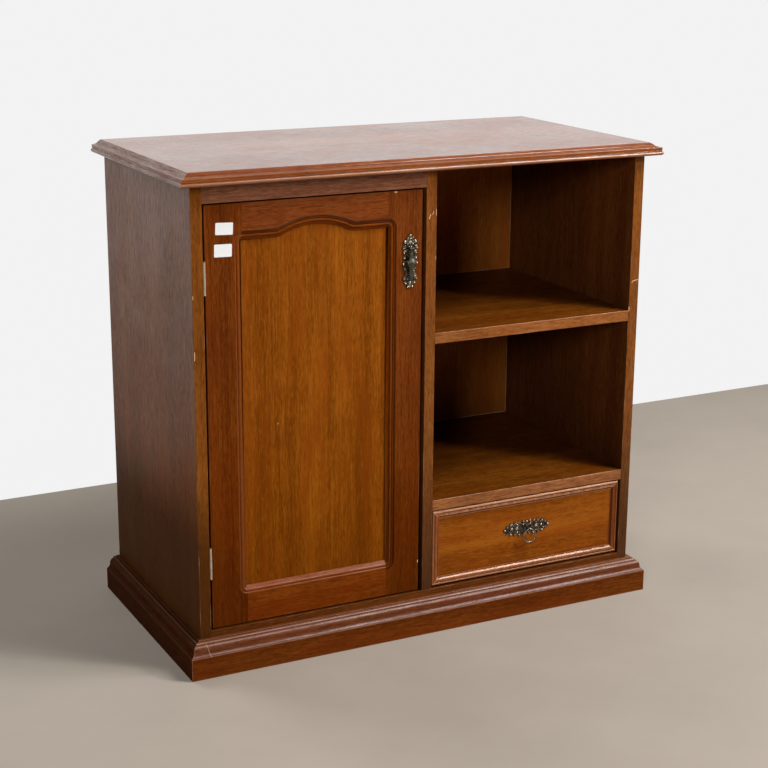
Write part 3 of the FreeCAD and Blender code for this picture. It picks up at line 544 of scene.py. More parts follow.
# Back panel: thin plywood in the rebates of the sides, lacquered inside and pinned along its edges from
# behind with steel pins. Dust has gathered where it meets the side and the shelves.
ply_dark = (0.30, 0.088, 0.010)
ply_light = (0.50, 0.160, 0.024)
pin_pitch = 0.09
pin_inset = 0.0045
pin_radius = 0.0016
corner_dust = 0.0012
head_sides = 14
head_rings = 6
head_turn = 1.5
head_sunk = -0.2
# The ply is painted darker towards the bottom.
dress("back_panel", wood("back_plywood", "Z", ply_dark, ply_light, rough=0.5, pores=0.15,
                         foot_shade=(1.0, *foot_shade_heights),
                         dust=[("X", inner_x, corner_dust, "Y", panel_front)]
                         + [("Z", top, shelf_dust, "Y", panel_front) for top in shelf_tops]))


def surface(name, points, faces, material, **numbers):
    """A piece from an array of points and its faces, turned to point outwards. Each named array gives
    a number at every point."""
    mesh = bpy.data.meshes.new(name + "_draft")
    mesh.from_pydata(points.reshape(-1, 3).tolist(), [], faces)
    for key, values in numbers.items():
        layer = mesh.attributes.new(key, "FLOAT", "POINT")
        layer.data.foreach_set("value", np.ascontiguousarray(values, dtype=np.float32).ravel())
    shape = bmesh.new()
    shape.from_mesh(mesh)
    bpy.data.meshes.remove(mesh)
    bmesh.ops.recalc_face_normals(shape, faces=shape.faces)
    return piece_of(name, shape, material)


def quads(rows, columns, round_rows=False, round_columns=False):
    """Faces between neighbours of a grid of points numbered row by row, which may close up on itself
    either way."""
    row = np.arange(rows if round_rows else rows - 1)[:, None]
    column = np.arange(columns if round_columns else columns - 1)[None, :]
    row_after = (row + 1) % rows
    column_after = (column + 1) % columns
    corners = np.stack([row * columns + column, row * columns + column_after,
                        row_after * columns + column_after, row_after * columns + column], axis=-1)
    return corners.reshape(-1, 4).tolist()


def heads(name, body, places, out, radius, rise, material):
    """Round heads of pins or screws. At a share s of the radius a head stands out by its rise times
    the root of 1 - s squared, and its foot is sunk a little into the face."""
    out = np.array(out, dtype=float)
    side = np.cross(out, (0.6, 0.5, 0.7))
    side /= np.linalg.norm(side)
    up = np.cross(out, side)
    climb = np.linspace(0.0, head_turn, head_rings)
    shares = np.concatenate([[1.0], np.cos(climb)])
    heights = np.concatenate([[head_sunk], np.sin(climb)]) * rise
    turns = np.linspace(0, 2 * math.pi, head_sides, endpoint=False)
    rim = side * np.cos(turns)[:, None] + up * np.sin(turns)[:, None]
    dome = rim[None] * (shares * radius)[:, None, None] + out * heights[:, None, None]
    points = np.array(places)[:, None, None, :] + dome[None]
    count = dome.shape[0] * dome.shape[1]
    faces = []
    for start in range(0, len(places) * count, count):
        faces += [[start + corner for corner in face] for face in quads(*dome.shape[:2], round_columns=True)]
        faces.append(list(range(start, start + head_sides)))
        faces.append(list(range(start + count - head_sides, start + count)))
    piece = surface(name, points, faces, material)
    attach(piece, body)
    return piece


steel_dark = (0.52, 0.42, 0.30)
steel_light = (0.86, 0.74, 0.58)
steel = Finish("dull_steel", Metallic=1.0)
tarnish = steel.noise(steel.place(), 700.0, 3.0, 0.6)
steel.varies("Base Color", steel.ramp(tarnish, [(0.35, steel_dark), (0.65, steel_light)]))
steel.varies("Roughness", tarnish * 0.25 + 0.35)
(low_x, _, low_z), (high_x, panel_back, high_z) = edges_of("back_panel")
across = np.linspace(low_x + pin_inset, high_x - pin_inset, round((high_x - low_x) / pin_pitch))
upward = np.linspace(low_z + pin_inset, high_z - pin_inset, round((high_z - low_z) / pin_pitch))
heads("back_panel_pins", "cabinet",
      [(x, panel_back, z) for x in across for z in (low_z + pin_inset, high_z - pin_inset)]
      + [(x, panel_back, z) for z in upward[1:-1] for x in (low_x + pin_inset, high_x - pin_inset)],
      (0, 1, 0), pin_radius, pin_radius / 2, steel.material)

# Loose shelf behind the door: a veneered board that lies on two planed battens, which are screwed to the
# uprights.
screw_radius = 0.0022
screw_rise = 0.0005
batten_screws = 3
batten_screw_inset = 0.03
eased("inner_shelf", wood("inner_shelf_veneer", "X", shelf_shaded_dark, shelf_shaded_light,
                          edges_of("inner_shelf"), shift=3.1))
for side, out in (("left", 1), ("right", -1)):
    node = "shelf_batten_" + side
    dress(node, wood(node + "_wood", "Y", bare_dark, bare_light, rough=0.5))
    low, high = edges_of(node)
    face = high[0] if side == "left" else low[0]
    along = np.linspace(low[1] + batten_screw_inset, high[1] - batten_screw_inset, batten_screws)
    heads("batten_screws_" + side, "cabinet", [(face, y, (low[2] + high[2]) / 2) for y in along],
          (out, 0, 0), screw_radius, screw_rise, steel.material)

# Drawer runners: two strips of planed hardwood glued to the uprights, which run in grooves of the
# drawer's sides.
for node in ("drawer_runner_left", "drawer_runner_right"):
    dress(node, wood(node + "_wood", "Y", bare_dark, bare_light, rough=0.5))

# Top: a veneered board under a hard lacquer, which mirrors the bright wall at a low angle. It is dulled
# and dented by use.
top_dark = (0.240, 0.070, 0.022)
top_light = (0.420, 0.135, 0.046)
top_z = edges_of("top_board")[1][2]
top_knocks = (
    ((0.345, 0.105, top_z), (0.350, 0.106, top_z), 0.0020),
    ((0.331, 0.128, top_z), (0.333, 0.128, top_z), 0.0016),
)
top_knock_stain = (0.10, 0.04, 0.02)
top_radius = 0.0002
eased("top_board", wood("top_veneer", "X", top_dark, top_light, worn=top_knock_stain, figure=1.8,
                        rough=0.30, specular=0.8, gloss=(1.0, 1.0), film_rough=0.12, pores=0.2,
                        marks=top_knocks), top_radius)

# Mouldings under the top and round the foot: stained hardwood, each length cut on its own from the
# same run, mitred at the front corners and glued on. Handling has rubbed the rounds pale, and the
# quirks are painted darker, partly for polish and dirt and partly as painted shade.
trim_dark = (0.135, 0.028, 0.003)
trim_light = (0.285, 0.072, 0.010)
trim_worn = (0.50, 0.27, 0.16)
warm_gloss = (1.0, 0.80, 0.62)
slope_heights = (0.035, 0.039)
profile_step = 0.0003
profile_round = 0.0003
profile_span = 0.0011
arc_points = 24
crest_height = 0.00016
mitre_fade = 0.0012
end_stations = (0.0, 0.0004, 0.0008, 0.0016, 0.003, 0.01)
middle_start = 0.02
middle_count = 24
scratch_run = ((0.0035, 0.0124, 0.0546), (0.0040, 0.0136, 0.0534), (0.0050, 0.0170, 0.0501),
               (0.0062, 0.0180, 0.0455), (0.0073, 0.0198, 0.0402), (0.0085, 0.0240, 0.0365))
scratch_width = 0.0007
trim_shift = 0.31
top_profile = ((0.004, 0.0), (0.0196, 0.0), (0.0196, 0.007, 0.0029), (0.0196, 0.0077), (0.0203, 0.0077),
               (0.0203, 0.013), (0.011, 0.0156, -0.0009), (0.0054, 0.0195, 0.0005), (0.0054, 0.02),
               (0.004, 0.02))
plinth_profile = ((0.0, 0.0), (0.024, 0.0), (0.024, 0.0365), (0.018, 0.0455, -0.0015),
                  (0.0136, 0.0534, 0.0014), (0.0124, 0.0534), (0.0124, 0.0546), (0.0072, 0.0564, 0.0011),
                  (0.006, 0.0564), (0.006, 0.058), (0.0, 0.058))


def evened(corners):
    """A closed outline as evenly spaced points. A corner is (out, up), or (out, up, sag) where the
    way to it is an arc that swells by sag to the right: the chord plus 4 t (1 - t) times the sag."""
    share = np.arange(arc_points)[:, None] / arc_points
    runs = []
    for here, there in zip(corners, corners[1:] + corners[:1]):
        a = np.array(here[:2])
        b = np.array(there[:2])
        across = np.array([b[1] - a[1], a[0] - b[0]]) / np.linalg.norm(b - a)
        sag = there[2] if len(there) > 2 else 0.0
        runs.append(a + (b - a) * share + across * sag * 4 * share * (1 - share))
    dense = np.vstack(runs + [runs[0][:1]])
    walked = np.concatenate([[0], np.cumsum(np.linalg.norm(np.diff(dense, axis=0), axis=1))])
    count = round(walked[-1] / profile_step)
    stops = np.arange(count) * walked[-1] / count
    return np.stack([np.interp(stops, walked, dense[:, axis]) for axis in (0, 1)], axis=1)


def softened(outline, spread):
    """A closed outline averaged along its own length under a bell of this spread."""
    reach = math.ceil(3 * spread / profile_step)
    offsets = np.arange(-reach, reach + 1)
    weights = np.exp(-((offsets * profile_step / spread) ** 2) / 2)
    weights /= weights.sum()
    return sum(weight * np.roll(outline, -offset, axis=0) for weight, offset in zip(weights, offsets))


def moulding(name, node, corners, start, end, outward, up, mitres, material):
    """A profile carried along a straight line from start to end. A point of it is out along outward and
    up along up, and its ends move along the line by its out times their mitre. The profile's sharp
    corners are averaged round. Where it lies outside a wider average of itself it is a crest, and
    where it lies inside it is a hollow."""
    sharp = evened(corners)
    outline = softened(sharp, profile_round)
    wide = softened(outline, profile_span)
    step = np.roll(outline, -1, axis=0) - np.roll(outline, 1, axis=0)
    normal = np.stack([step[:, 1], -step[:, 0]], axis=1)
    normal /= np.linalg.norm(normal, axis=1)[:, None]
    swell = ((outline - wide) * normal).sum(axis=1) / crest_height
    start, end, outward, up = (np.array(place, dtype=float) for place in (start, end, outward, up))
    length = np.linalg.norm(end - start)
    along = (end - start) / length
    near = np.array(end_stations)
    middle = np.linspace(middle_start, length - middle_start, middle_count)
    stations = np.concatenate([near, middle, length - near[::-1]])
    out = outline[None, :, 0]
    stretch = (length + (mitres[0] + mitres[1]) * out) / length
    travel = stations[:, None] * stretch - mitres[0] * out
    points = (start + along * travel[:, :, None] + outward * out[:, :, None]
              + up * outline[None, :, 1, None])
    count = len(outline)
    faces = quads(len(stations), count, round_columns=True)
    faces.append(list(range(count)))
    faces.append(list(range((len(stations) - 1) * count, len(stations) * count)))
    from_mitre = np.full(len(stations), 1.0)
    if mitres[0]:
        from_mitre = np.minimum(from_mitre, stations)
    if mitres[1]:
        from_mitre = np.minimum(from_mitre, length - stations)
    near_mitre = np.exp(-from_mitre / mitre_fade)[:, None] * np.ones(count)
    whole = np.ones((len(stations), 1))
    piece = surface(name, points, faces, material, crest=whole * np.clip(swell, 0, 1),
                    hollow=whole * np.clip(-swell, 0, 1), mitre=near_mitre)
    return stands_for(piece, node)


(left_x, _, floor_z), (right_x, back_y, _) = edges_of("side_panel_left", "side_panel_right")
under_top = edges_of("top_board")[0][2]
scratch_path = [(left_x + across, front_y - out, up) for across, out, up in scratch_run]
plinth_scratches = [(start, end, scratch_width) for start, end in zip(scratch_path, scratch_path[1:])]
# How each length looks: its film below and above the slope's foot, the share of the trim's stains, which
# is painted shade on the plinth and the left-hand top moulding, and its specular level. The plinth's left
# side is dull and painted darkest.
trim_finishes = {
    "top_moulding_front": {"gloss": (0.7, 0.7), "shade": 1.0, "specular": 0.05},
    "top_moulding_left": {"gloss": (0.85, 0.85), "shade": 0.8, "specular": 0.05},
    "top_moulding_right": {"gloss": (0.7, 0.7), "shade": 1.0, "specular": 0.05},
    "plinth_front": {"gloss": (0.0, 0.62), "shade": 0.66, "specular": 0.02},
    "plinth_left": {"gloss": (0.0, 0.02), "shade": 0.20, "specular": 0.005},
    "plinth_right": {"gloss": (0.0, 0.62), "shade": 0.66, "specular": 0.02},
}
for kind, corners, foot_z, film_rough, scratches in (
        ("top_moulding", top_profile, under_top, 0.2, ()),
        ("plinth", plinth_profile, floor_z, 0.34, plinth_scratches)):
    for side, grain, start, end, outward, mitres in (
            ("front", "X", (left_x, front_y), (right_x, front_y), (0, -1, 0), (1, 1)),
            ("left", "Y", (left_x, back_y), (left_x, front_y), (-1, 0, 0), (0, 1)),
            ("right", "Y", (right_x, front_y), (right_x, back_y), (1, 0, 0), (1, 0))):
        node = kind + "_" + side
        look = trim_finishes[node]
        stains = [scaled(stain, look["shade"]) for stain in (trim_dark, trim_light, trim_worn)]
        material = wood(node + "_wood", grain, stains[0], stains[1], worn=stains[2], moulded=0.3, rough=0.4,
                        specular=look["specular"], tint=warm_gloss, gloss=look["gloss"],
                        polish=slope_heights, film_rough=film_rough, shift=len(node) * trim_shift,
                        marks=scratches if side == "front" else ())
        moulding(node + "_run", node, corners, (*start, foot_z), (*end, foot_z), outward, (0, 0, 1), mitres,
                 material)

# Door: two stiles, an arched top rail and a bottom rail in solid hardwood, tenoned together and stained
# redder than the carcass. A moulding is run round their inner edge. Its quirks hold dark lines of dirt
# and painted shade, strongest on the lengths that face away from the light, and the runs that face the
# light are painted lighter, as painted light.
stile_dark = (0.088, 0.0155, 0.0006)
stile_light = (0.208, 0.048, 0.003)
crossing_dark = (0.108, 0.020, 0.001)
crossing_light = (0.245, 0.056, 0.005)
quirk_depths = (0.0006, 0.0026, 0.0068)
first_door_shift = 1.7
door_shift = 0.43
door_block = edges_of("door_stile_hinge", "door_stile_lock", "door_rail_top", "door_rail_bottom")
door_y = door_block[0][1]
quirk_places = [door_y + depth for depth in quirk_depths]
door_knocks = on_face(door_y, (
    ((-0.062, 0.7380), (-0.060, 0.7375), 0.0018),
    ((-0.0155, 0.119), (-0.0155, 0.122), 0.0010),
))
# Each member has its grain's axis, its two stains, the film at its head, its painted shade at the foot
# and its ripple, the share of the dark lines of dirt and painted shade in its quirks, and the film of
# its run.
for number, (node, grain, dark, light, film, foot_shade, ripple, quirk_shade, run_film) in enumerate((
        ("door_stile_hinge", "Z", stile_dark, stile_light, 0.18, 0.45, 0.0, 0.1, 0.35),
        ("door_stile_lock", "Z", stile_dark, stile_light, 0.32, 0.45, 0.0, 0.7, 0.02),
        ("door_rail_top", "X", crossing_dark, crossing_light, 0.50, 0.0, 0.3, 0.85, 0.0),
        ("door_rail_bottom", "X", crossing_dark, crossing_light, 0.50, 0.1, 0.3, 0.2, 0.5))):
    material = wood(node + "_wood", grain, dark, light, door_block, ripple=ripple, lined=grain == "Z",
                    gloss=(0.0, film), foot_shade=(foot_shade, *foot_shade_heights), rub=0.12,
                    shift=first_door_shift + number * door_shift,
                    quirk=(quirk_places, *door_block, quirk_shade, run_film), marks=door_knocks)
    stands_for(piece_of(node + "_moulded", merged(node), material), node)

# Door panel: a thin veneered board, more golden than the frame, that slides loose in a groove of the
# stiles and rails.
panel_dark = (0.155, 0.037, 0.001)
panel_light = (0.330, 0.094, 0.005)
panel_knocks = on_face(edges_of("door_panel")[0][1], (((-0.260, 0.387), (-0.260, 0.389), 0.0007),))
dress("door_panel", wood("door_panel_veneer", "Z", panel_dark, panel_light, figure=1.6, ripple=0.2,
                         lined=True, pores=0.2, gloss=(0.0, 0.14), foot_shade=(0.35, *foot_shade_heights),
                         marks=panel_knocks))

# Hinges: pairs of pressed steel leaves round a pin, let into the side and the door and held by
# countersunk screws. All the steel of the cabinet has the same dull, yellowed plating.
for node, slot in slot_of.items():
    if slot == "plated_steel":
        dress(node, steel.material)

# Catch: a magnet in a case of brown plastic, screwed to the divider, and its steel plate, screwed to the
# back of the lock stile.
screw_inset = 0.006
plastic_dark = (0.16, 0.08, 0.04)
plastic_light = (0.22, 0.12, 0.07)
plastic = Finish("catch_plastic", Roughness=0.5)
speckle = plastic.noise(plastic.place(), 300.0)
plastic.varies("Base Color", plastic.ramp(speckle, [(0.3, plastic_dark), (0.7, plastic_light)]))
dress("magnetic_catch", plastic.material)
low, high = edges_of("magnetic_catch")
heads("catch_screws", "cabinet",
      [(low[0], (low[1] + high[1]) / 2, z) for z in (low[2] + screw_inset, high[2] - screw_inset)],
      (-1, 0, 0), screw_radius, screw_rise, steel.material)
low, high = edges_of("catch_strike_plate")
heads("strike_screws", "door",
      [(low[0] + screw_inset / 2, high[1], z) for z in (low[2] + screw_inset, high[2] - screw_inset)],
      (0, 1, 0), screw_radius, screw_rise, steel.material)

# Labels: two small stickers of white paper, blank, with rounded corners. They are stuck a little askew
# on the hinge stile.
paper_thick = 0.00015
paper_round = 0.0015
paper_dark = (0.80, 0.81, 0.82)
paper_light = (0.88, 0.88, 0.88)
label_sides = 32
door_left = door_block[0][0]
door_top = door_block[1][2]
paper = Finish("white_paper", Roughness=0.6, Specular_IOR_Level=0.3)
felt = paper.noise(paper.place(), 500.0, 3.0)
paper.varies("Base Color", paper.ramp(felt, [(0.3, paper_dark), (0.7, paper_light)]))


def label(name, inward, down, size, lean):
    """A thin sheet with rounded corners, leaned about its middle. Each corner's points are its centre
    plus the rounding's radius times a turning unit vector."""
    turns = np.linspace(0, 2 * math.pi, label_sides, endpoint=False) + math.pi / label_sides
    facing = np.stack([np.cos(turns), np.sin(turns)], axis=1)
    across, up = (np.sign(facing) * (np.array(size) / 2 - paper_round) + facing * paper_round).T
    x = door_left + inward + across * math.cos(lean) + up * math.sin(lean)
    z = door_top - down - across * math.sin(lean) + up * math.cos(lean)
    points = np.stack([np.stack([x, np.full_like(x, door_y - out), z], axis=1) for out in (0.0, paper_thick)])
    faces = quads(2, label_sides, round_columns=True)
    faces += [list(range(label_sides)), list(range(label_sides, 2 * label_sides))]
    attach(surface(name, points, faces, paper.material), "door")


label("label_upper", 0.0314, 0.0367, (0.0280, 0.0183), math.radians(2.6))
label("label_lower", 0.0289, 0.0692, (0.0282, 0.0192), math.radians(1.7))

# Drawer: a box of planed boards with a plywood bottom, behind a veneered front. A bead, mitred at the
# corners, frames the front, with a painted highlight on its crests, strongest along its top.
front_dark = (0.145, 0.034, 0.002)
front_light = (0.315, 0.090, 0.007)
dress("drawer_front", wood("drawer_front_veneer", "X", front_dark, front_light, figure=2.2, ripple=0.3,
                           pores=0.25, gloss=(0.03, 0.03), shift=0.9))
bead_shade = 0.8
bead_shift = 0.17
bead_highlight_colour = (0.68, 0.33, 0.18)
bead_gloss = (1.0, 0.70, 0.50)
bead_profile = ((0.0, 0.0), (0.014, 0.0), (0.014, 0.0007), (0.0098, 0.003, -0.0007),
                (0.0036, 0.0032, 0.0008), (0.0036, 0.004), (0.0022, 0.004), (0.0, 0.0024, 0.0004))
low, high = edges_of("drawer_bead_top", "drawer_bead_bottom", "drawer_bead_left", "drawer_bead_right")
field_y = high[1]
# The last share of each length is the painted highlight on its crests, strongest along the top.
for side, grain, start, end, outward, specular, highlight_share in (
        ("top", "X", (low[0], high[2]), (high[0], high[2]), (0, 0, -1), 0.9, 0.9),
        ("bottom", "X", (low[0], low[2]), (high[0], low[2]), (0, 0, 1), 0.8, 0.3),
        ("left", "Z", (low[0], low[2]), (low[0], high[2]), (1, 0, 0), 0.2, 0.2),
        ("right", "Z", (high[0], low[2]), (high[0], high[2]), (-1, 0, 0), 0.1, 0.1)):
    node = "drawer_bead_" + side
    material = wood(node + "_wood", grain, scaled(trim_dark, bead_shade), scaled(trim_light, bead_shade),
                    worn=bead_highlight_colour, moulded=highlight_share, rough=0.26, specular=specular, tint=bead_gloss,
                    gloss=(0.0, 0.0), shift=len(node) * bead_shift)
    moulding(node + "_run", node, bead_profile, (start[0], field_y, start[1]), (end[0], field_y, end[1]),
             outward, (0, -1, 0), (-1, -1), material)
for node, grain in (("drawer_side_left", "Y"), ("drawer_side_right", "Y"), ("drawer_back", "X")):
    dress(node, wood(node + "_wood", grain, bare_dark, bare_light, rough=0.55))
dress("drawer_bottom", wood("drawer_bottom_ply", "X", bare_dark, bare_light, rough=0.5))

# Pulls: castings of a brass alloy browned with age, bright where hands have rubbed them. Each plate is
# pierced and lobed, its post goes through the wood to a nut, and a drop or a ring hangs from the post.
mm = 0.001
cell = 0.0005
plate_wall = 0.0007
plate_rim = 0.0008
plate_rim_round = 0.0009
plate_swell = 0.0005
nub_share = 0.45
least_slope = 0.5
snap_share = 0.6
raised_rim = 0.22
raised_swell = 0.4
door_plate_half = 44
# Discs of one half of each plate, in millimetres, each with its radius last.
door_spine = ((10, 0, 5), (18, 0, 8), (26, 0, 9), (36, 0, 9.5), (46, 0, 10), (56, 0, 8), (66, 0, 8),
              (76, 0, 8), (83, 0, 4))
door_lobes = ((3.2, 0, 3), (7.5, 4, 2.6), (13, 8.5, 3.6), (21, 10.2, 3.6), (29, 9.5, 3.4), (38, 9.2, 3.2),
              (47, 10.6, 3.3), (56, 8, 3), (64, 6, 3), (70, 9.6, 3.6), (78, 7, 3.2), (84.5, 3.4, 2.6),
              (85, 0, 2.6))
door_holes = ((20.5, 5.2, 1.5), (33, 6, 1.6), (42.5, 6.5, 1.3), (52, 6.3, 1.5), (68, 5.0, 1.3),
              (75.5, 3.6, 1.2))
door_nubs = ((2.6, 0, 1.5), (6.5, 4.2, 1.4), (8.5, 0, 1.4), (14, 0, 2.8), (13, 9.5, 1.7), (16.5, 4.4, 1.2),
             (24, 12, 1.7), (31, 10.8, 1.2), (39, 10.2, 1.3), (48, 12, 1.8), (60, 6.4, 1.4), (65, 7.4, 1.1),
             (72, 11, 1.7), (72, 4.4, 1.1), (78.5, 0, 2.6), (79, 7.6, 1.5), (84.5, 4, 1.6),
             (19, 9.4, 1.2), (28, 8.2, 1.3), (34.5, 9.2, 1.1), (43.5, 9.6, 1.2), (53, 8.6, 1.4),
             (75, 8.2, 1.1), (68.5, 8, 1.2), (11, 5.6, 1.1), (21, 2.2, 1.2))
drawer_spine = ((0, 0, 9), (10, 0, 9), (20, 0, 9), (29, 0, 8.3), (36.5, 0, 6.2), (42.6, 0, 2.9))
drawer_lobes = ((0, 11, 2.6), (7, 11.3, 2.4), (15, 10.6, 2.9), (23, 10.2, 2.9), (31, 8.8, 2.8),
                (37.5, 6.2, 2.4), (6, -10.5, 2.6), (14, -10.6, 2.9), (23, -10.2, 2.8), (31, -8.4, 2.7),
                (37.5, -5.6, 2.3))
drawer_holes = ((12, 4, 1.6), (12, -5, 1.5), (26, 3.5, 1.6), (26, -4, 1.5), (35, 0, 1.4))
drawer_nubs = ((0, 12, 1.2), (5, 12, 1.9), (13.5, 11.6, 1.4), (21, 11, 2.2), (30, 9.8, 1.3),
               (36, 7.6, 1.9), (42.6, 0, 1.8), (19, 1, 3.0), (29, 1, 2.4), (14, -11.2, 1.2),
               (31, -8.8, 1.2), (7, 6.2, 1.5), (18.5, 7.2, 1.2), (18.5, -6.5, 1.4), (27, 7.0, 1.2),
               (11, 8.8, 0.9), (33, -4.6, 1.1))


def both_halves(rows, upright):
    """Discs of a whole plate, from rows in millimetres that give one half of it, as x and z from the
    plate's middle and the radius, in metres. A row of an upright plate gives how far a disc lies below
    the plate's head and beside its middle line, and a row of a lying one its x and z."""
    discs = []
    for first, second, radius in rows:
        x, z = (second, door_plate_half - first) if upright else (first, second)
        discs += [(sign * x * mm, z * mm, radius * mm) for sign in (-1, 1)]
    return sorted(set(discs))


def cast_plate(name, node, spine, lobes, holes, nubs, material):
    """A thin casting on a flat face. Metal lies where the depth is above nought: the most, over the
    discs, of a disc's radius less the distance to its middle, and no more than the distance to a
    piercing's middle less its radius. Grid points near the outline are drawn onto it along the slope
    of the depth. The front stands out by a rounded rim, a swell 1 - (d / r) squared on each lobe and a
    dome on each nub, and raised says how high a point is among them."""
    low, high = edges_of(node)
    middle_x = (low[0] + high[0]) / 2
    middle_z = (low[2] + high[2]) / 2
    reach = [(high[axis] - low[axis]) / 2 + cell for axis in (0, 2)]
    x, z = np.meshgrid(*(np.arange(-length, length + cell, cell) for length in reach))

    def depth_at(x, z):
        """How deep in the metal a place is, and below nought outside it."""
        metal = np.max([radius - np.hypot(x - a, z - b) for a, b, radius in spine + lobes], axis=0)
        pierced = np.min([np.hypot(x - a, z - b) - radius for a, b, radius in holes], axis=0)
        return np.minimum(metal, pierced)

    def dome_at(discs):
        """The highest of the discs' domes at each grid point, each 1 - (d / r) squared."""
        return np.max([np.clip(1 - ((x - a) ** 2 + (z - b) ** 2) / radius ** 2, 0, 1)
                       for a, b, radius in discs], axis=0)

    depth = depth_at(x, z)
    probe = cell / 50
    slope_x = (depth_at(x + probe, z) - depth_at(x - probe, z)) / (2 * probe)
    slope_z = (depth_at(x, z + probe) - depth_at(x, z - probe)) / (2 * probe)
    steep = np.maximum(slope_x ** 2 + slope_z ** 2, least_slope ** 2)
    near = np.abs(depth) < snap_share * cell
    x = np.where(near, x - depth * slope_x / steep, x)
    z = np.where(near, z - depth * slope_z / steep, z)
    depth = np.where(near, 0, depth)
    rim = np.sqrt(1 - (1 - np.clip(depth / plate_rim_round, 0, 1)) ** 2)
    swell = dome_at(lobes)
    nub = np.sqrt(dome_at(nubs))
    nub_height = nub * max(radius for _, _, radius in nubs) * nub_share
    out = plate_wall + plate_rim * rim + plate_swell * swell + np.where(depth > 0, nub_height, 0)
    kept = depth >= 0
    cells = kept[:-1, :-1] & kept[:-1, 1:] & kept[1:, :-1] & kept[1:, 1:]
    rows, columns = depth.shape
    count = rows * columns
    front = np.array(quads(rows, columns))[cells.ravel()]
    sides = np.concatenate([front[:, [k, (k + 1) % 4]] for k in range(4)])
    paired_up = np.isin(sides[:, 0] * count + sides[:, 1], sides[:, 1] * count + sides[:, 0])
    border = sides[~paired_up]
    walls = np.concatenate([border[:, ::-1], border + count], axis=1)
    faces = np.concatenate([front, front[:, ::-1] + count, walls])
    face_y = high[1]
    both = (2, rows, columns)
    grid = np.stack([np.broadcast_to(middle_x + x, both), np.stack([face_y - out, np.full_like(out, face_y)]),
                     np.broadcast_to(middle_z + z, both)], axis=-1).reshape(-1, 3)
    raised = np.maximum(raised_rim * rim + raised_swell * swell, nub)
    raised = np.concatenate([raised.ravel(), np.zeros(count)])
    used, faces = np.unique(faces, return_inverse=True)
    piece = surface(name, grid[used], faces.reshape(-1, 4).tolist(), material, raised=raised[used])
    return stands_for(piece, node)


tarnish_black = (0.025, 0.020, 0.016)
tarnish_brown = (0.14, 0.12, 0.09)
rubbed_brass = (0.74, 0.65, 0.50)
cast = Finish("cast_brass", Metallic=1.0)
filigree = cast.noise(cast.place(), 430.0, 3.0, 0.65) - 0.5
raised = (cast.attribute("raised") + filigree * 2.6).most(0.0)
cast.varies("Base Color",
            cast.ramp(raised, [(0.08, tarnish_black), (0.95, rubbed_brass), (0.45, tarnish_brown)]))
cast.varies("Roughness", 0.5 - raised * 0.2)
cast_plate("door_plate_cast", "door_pull_plate",
           *(both_halves(rows, True) for rows in (door_spine, door_lobes, door_holes, door_nubs)),
           cast.material)
cast_plate("drawer_plate_cast", "drawer_pull_plate",
           *(both_halves(rows, False) for rows in (drawer_spine, drawer_lobes, drawer_holes, drawer_nubs)),
           cast.material)


def bronze(name, dark, light):
    """A browned casting, its colour mottled by a noise that also dulls it."""
    finish = Finish(name, Metallic=1.0)
    patina = finish.noise(finish.place(), 500.0, 3.0, 0.6)
    finish.varies("Base Color", finish.ramp(patina, [(0.35, dark), (0.65, light)]))
    finish.varies("Roughness", patina * 0.2 + 0.36)
    return finish.material


drop_dark = (0.050, 0.046, 0.034)
drop_light = (0.16, 0.155, 0.12)
ring_dark = (0.10, 0.08, 0.058)
ring_light = (0.40, 0.32, 0.24)
drop_bronze = bronze("dark_bronze", drop_dark, drop_light)
ring_bronze = bronze("rubbed_bronze", ring_dark, ring_light)
for node, slot in slot_of.items():
    if slot == "antique_brass" and not nodes[node].hide_render:
        dress(node, drop_bronze)

# Drop of the door pull: a flattened tear that hangs from an eye on the cross pin. Its rows are how far
# down it is in millimetres and its half width there, joined by half waves of a cosine.
drop_rows = ((0.0, 1.1), (6.0, 1.4), (9.5, 2.9), (13.0, 3.0), (23.5, 8.6), (32.5, 3.6), (42.5, 4.6),
             (50.5, 2.2), (52.0, 0.4))
drop_rings = 70
drop_flatness = 0.4
round_sides = 24
eye_radius = 1.62
eye_wire = 0.62
eye_half = 1.3
turns = np.linspace(0, 2 * math.pi, round_sides, endpoint=False)
low, high = edges_of("door_pull_pin")
pivot = [(a + b) / 2 for a, b in zip(low, high)]
down, radius = np.array(drop_rows).T
stops = np.linspace(down[0], down[-1], drop_rings)
row = np.clip(np.searchsorted(down, stops, side="right") - 1, 0, len(down) - 2)
share = (stops - down[row]) / (down[row + 1] - down[row])
width = radius[row] + (radius[row + 1] - radius[row]) * (1 - np.cos(math.pi * share)) / 2
points = np.stack([pivot[0] + mm * width[:, None] * np.cos(turns),
                   pivot[1] + mm * width[:, None] * np.sin(turns) * drop_flatness,
                   pivot[2] - mm * stops[:, None] * np.ones(round_sides)], axis=-1)
faces = quads(drop_rings, round_sides, round_columns=True)
faces.append(list(range(round_sides)))
faces.append(list(range((drop_rings - 1) * round_sides, drop_rings * round_sides)))
stands_for(surface("door_drop_cast", points, faces, drop_bronze), "door_pull_drop")
round_x = pivot[0] + mm * eye_half * np.sin(turns)[None, :] * np.ones((round_sides, 1))
from_pin = mm * (eye_radius + eye_wire * np.cos(turns))[None, :]
points = np.stack([round_x, pivot[1] + from_pin * np.cos(turns)[:, None],
                   pivot[2] + from_pin * np.sin(turns)[:, None]], axis=-1)
stands_for(surface("door_drop_eye", points, quads(round_sides, round_sides, True, True), drop_bronze),
           "door_pull_drop")

